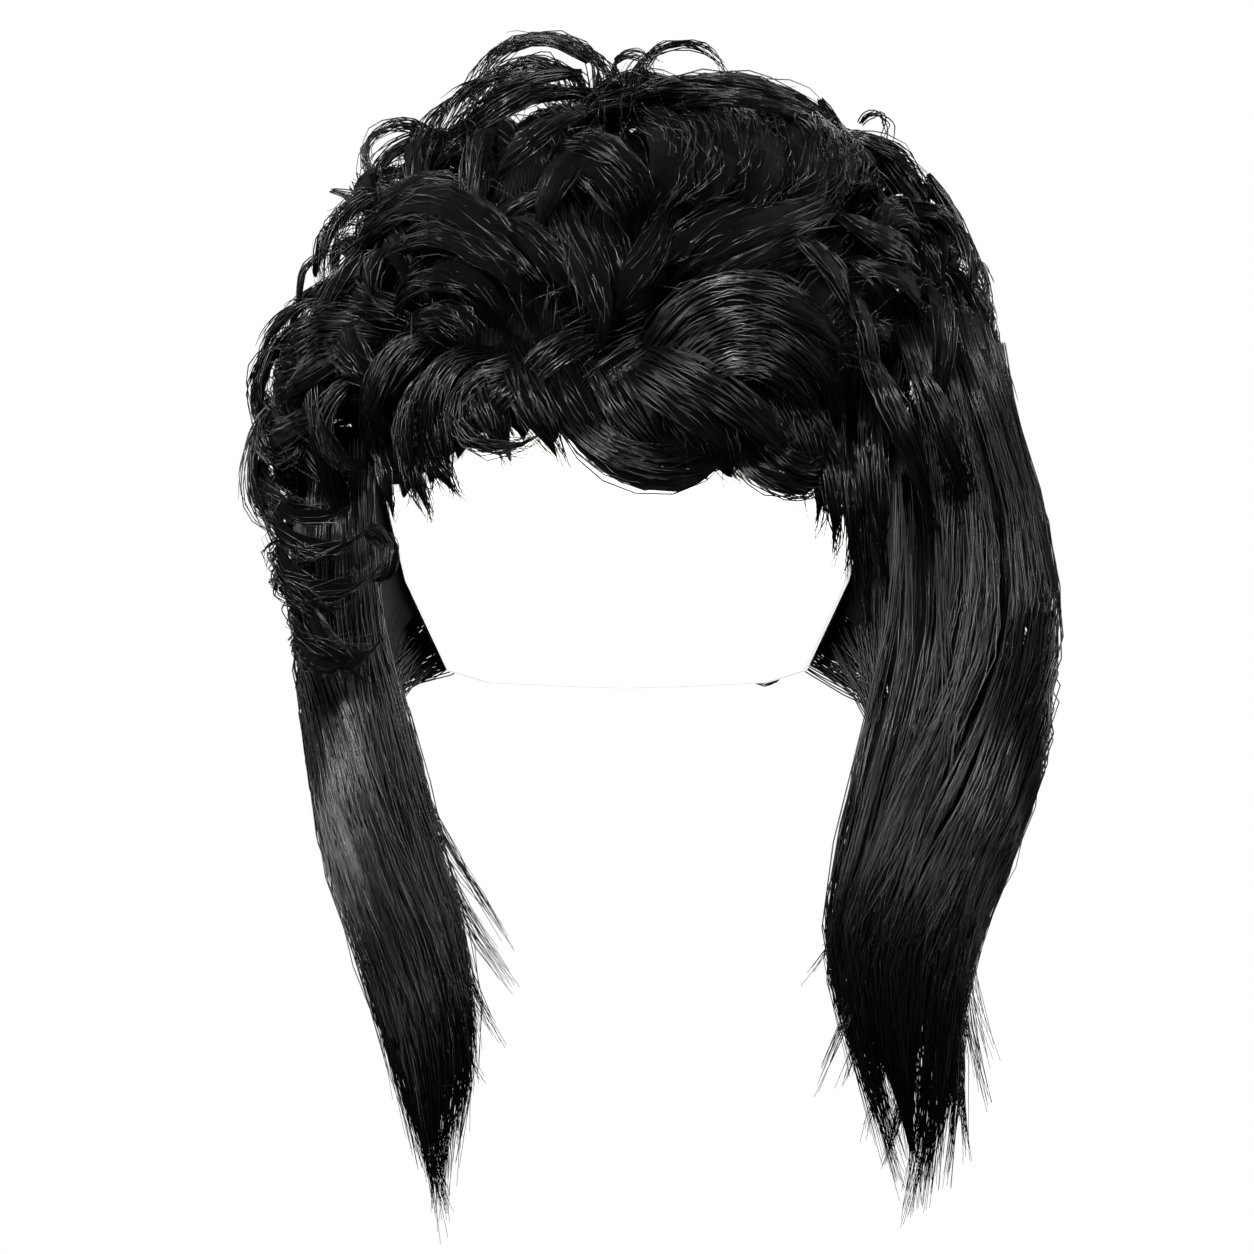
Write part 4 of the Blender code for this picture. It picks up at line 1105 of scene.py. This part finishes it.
def length_point(rows, spread, side, drop, across, depth):
    """A point in a length: from its front edge to its back edge, and from its inner to its outer face"""
    drops = [row[0] for row in rows]
    front, back, inner, outer, behind = (
        float(np.interp(drop, drops, [row[column] for row in rows])) for column in range(1, 6)
    )
    inner, outer, behind = inner * HEAD.x, outer * spread, behind * NAPE_SPREAD
    azimuth = front + (back - front) * across
    outer += (behind - outer) * max(0, min(1, (azimuth - 90) / 90))
    half = (outer - inner) / 2
    radius = inner + half + half * (2 * depth - 1) * (1 - abs(2 * across - 1) ** 3) ** 0.5
    turn = math.radians(azimuth)
    stretch = 1 + (HEAD.y / HEAD.x - 1) * max(0, -math.cos(turn))
    level = -drop * LENGTH_DROP
    point = Vector((side * radius * math.sin(turn), -radius * math.cos(turn) * stretch, level))
    return clear_of_cap(point, CAP_CLEARANCE)


# The heart of a length: the imported inner hair, a closed loft inside the strands that narrows to the tip
# and at the nape, with as fine streaks as the hearts of the locks and the same darker black, painted shade
# between the strands
LOFT_STEPS = 12
LOFT_LEVELS = 26
LOFT_SHARE = 0.55
LOFT_END = 0.93
LOFT_TAPER_START = 0.52
LOFT_TAPER = 0.97
LOFT_FRONT = 0.17
LOFT_DROPS = (0.30, 0.44, 0.54)
LOFT_HALVES = (0.29, 0.19, 0.29)
LOFT_TURNS = 6


def length_body(name, rows, spread, side, finish):
    """The heart of a length"""
    shape = bmesh.new()
    lay = shape.loops.layers.uv.new("lay")
    rings = []
    for drop in np.linspace(rows[1][0], LOFT_END, LOFT_LEVELS):
        past = max(0, (drop - LOFT_TAPER_START) / (LOFT_END - LOFT_TAPER_START))
        left = 1 - LOFT_TAPER * past ** 1.8
        half = float(np.interp(drop, LOFT_DROPS, LOFT_HALVES))
        across = [
            LOFT_FRONT + half + half * left * (2 * k / LOFT_STEPS - 1) for k in range(LOFT_STEPS + 1)
        ]
        thick = LOFT_SHARE * left / 2
        ring = [length_point(rows, spread, side, drop, a, 0.5 - thick) for a in across]
        ring += [length_point(rows, spread, side, drop, a, 0.5 + thick) for a in reversed(across)]
        rings.append([shape.verts.new(point) for point in ring])
    skin(shape, lay, rings, LOFT_TURNS)
    return smooth_object(name, shape, finish)


def length_guide(rows, spread, side, index):
    """The guide of one of the locks that a length is made of, with its place drawn by chance"""
    across = LENGTH_MARGIN + LENGTH_REACH * (index * LENGTH_STEP % 1) ** LENGTH_BIAS
    depth = LENGTH_DEPTHS[index % 4]
    if index % 8 == 7:
        across, depth = draw.uniform(0, 0.10), draw.uniform(0.2, 0.85)
    start = LENGTH_START + draw.uniform(-0.02, 0.04)
    if side > 0 and across < 0.55 and depth > 0.5:
        start = LENGTH_HIGH_START + draw.uniform(0, 0.05)
    end = LENGTH_END - LENGTH_SLANT * abs(across - 0.4) - draw.uniform(0, 0.10)
    drift, phase, waves = draw.uniform(-0.06, 0.06), draw.uniform(0, math.tau), draw.uniform(1.5, 3.0)
    line = []
    for step in np.linspace(0, 1, GUIDE_POINTS):
        drop = start + (end - start) * step
        aside = across + drift * math.sin(waves * math.pi * step + phase) * (0.3 + step)
        aside = min(LENGTH_BORDER, max(LENGTH_MARGIN, aside))
        inward = depth + (0.5 - depth) * LENGTH_CLOSING * step
        line.append(clear_of_cap(length_point(rows, spread, side, drop, aside, inward), STRAND_CLEARANCE))
    return guide_from(line, LENGTH_WIDTH, LENGTH_STRANDS, LENGTH_POINTS, twist=LENGTH_TWIST, swells=False)


def tip_guide(rows, spread, side, across, drop, aside, down, strands, half_width):
    """The guide of a thin point that stands out of a length"""
    line = [
        length_point(rows, spread, side, drop * (0.5 + 0.5 * step), across, 0.7)
        for step in (0, 0.25, 0.5, 0.75)
    ]
    leaving = length_point(rows, spread, side, drop, across, 0.7)
    tip = Vector((side * aside, min(leaving.y * 0.85, TIP_BACK), -down))
    bow = side * (TIP_BOW if aside < abs(leaving.x) else -TIP_BOW)
    for step in np.linspace(0, 1, 14):
        line.append(leaving.lerp(tip, float(step)) + Vector((bow * math.sin(math.pi * step), 0, 0)))
    return guide_from(line, half_width / 1000, strands, TIP_POINTS, twist=LENGTH_TWIST, swells=False)


for side, rows, spread, points, title, seed in (
    (1, LEFT_SECTIONS, LEFT_SPREAD, LEFT_POINTS, "left", 101),
    (-1, RIGHT_SECTIONS, RIGHT_SPREAD, RIGHT_POINTS, "right", 111),
):
    guides = [length_guide(rows, spread, side, index) for index in range(LENGTH_LOCKS)]
    guides += [tip_guide(rows, spread, side, *point) for point in points]
    body = length_body(title + "_length_heart", rows, spread, side, heart_shade_finish)
    hair = strand_piece(
        title + "_length_strands", guides, strand_finish, Seed=seed, Frizz=0.0024, Gathering=0.6,
        Shortest=0.8, Families=3, Spread=1.3, Wander=0.006, Wander_Scale=12.0, Stray=0.25,
    )
    for piece in (body, hair):
        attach(piece, "root")
        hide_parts(title + "_length")
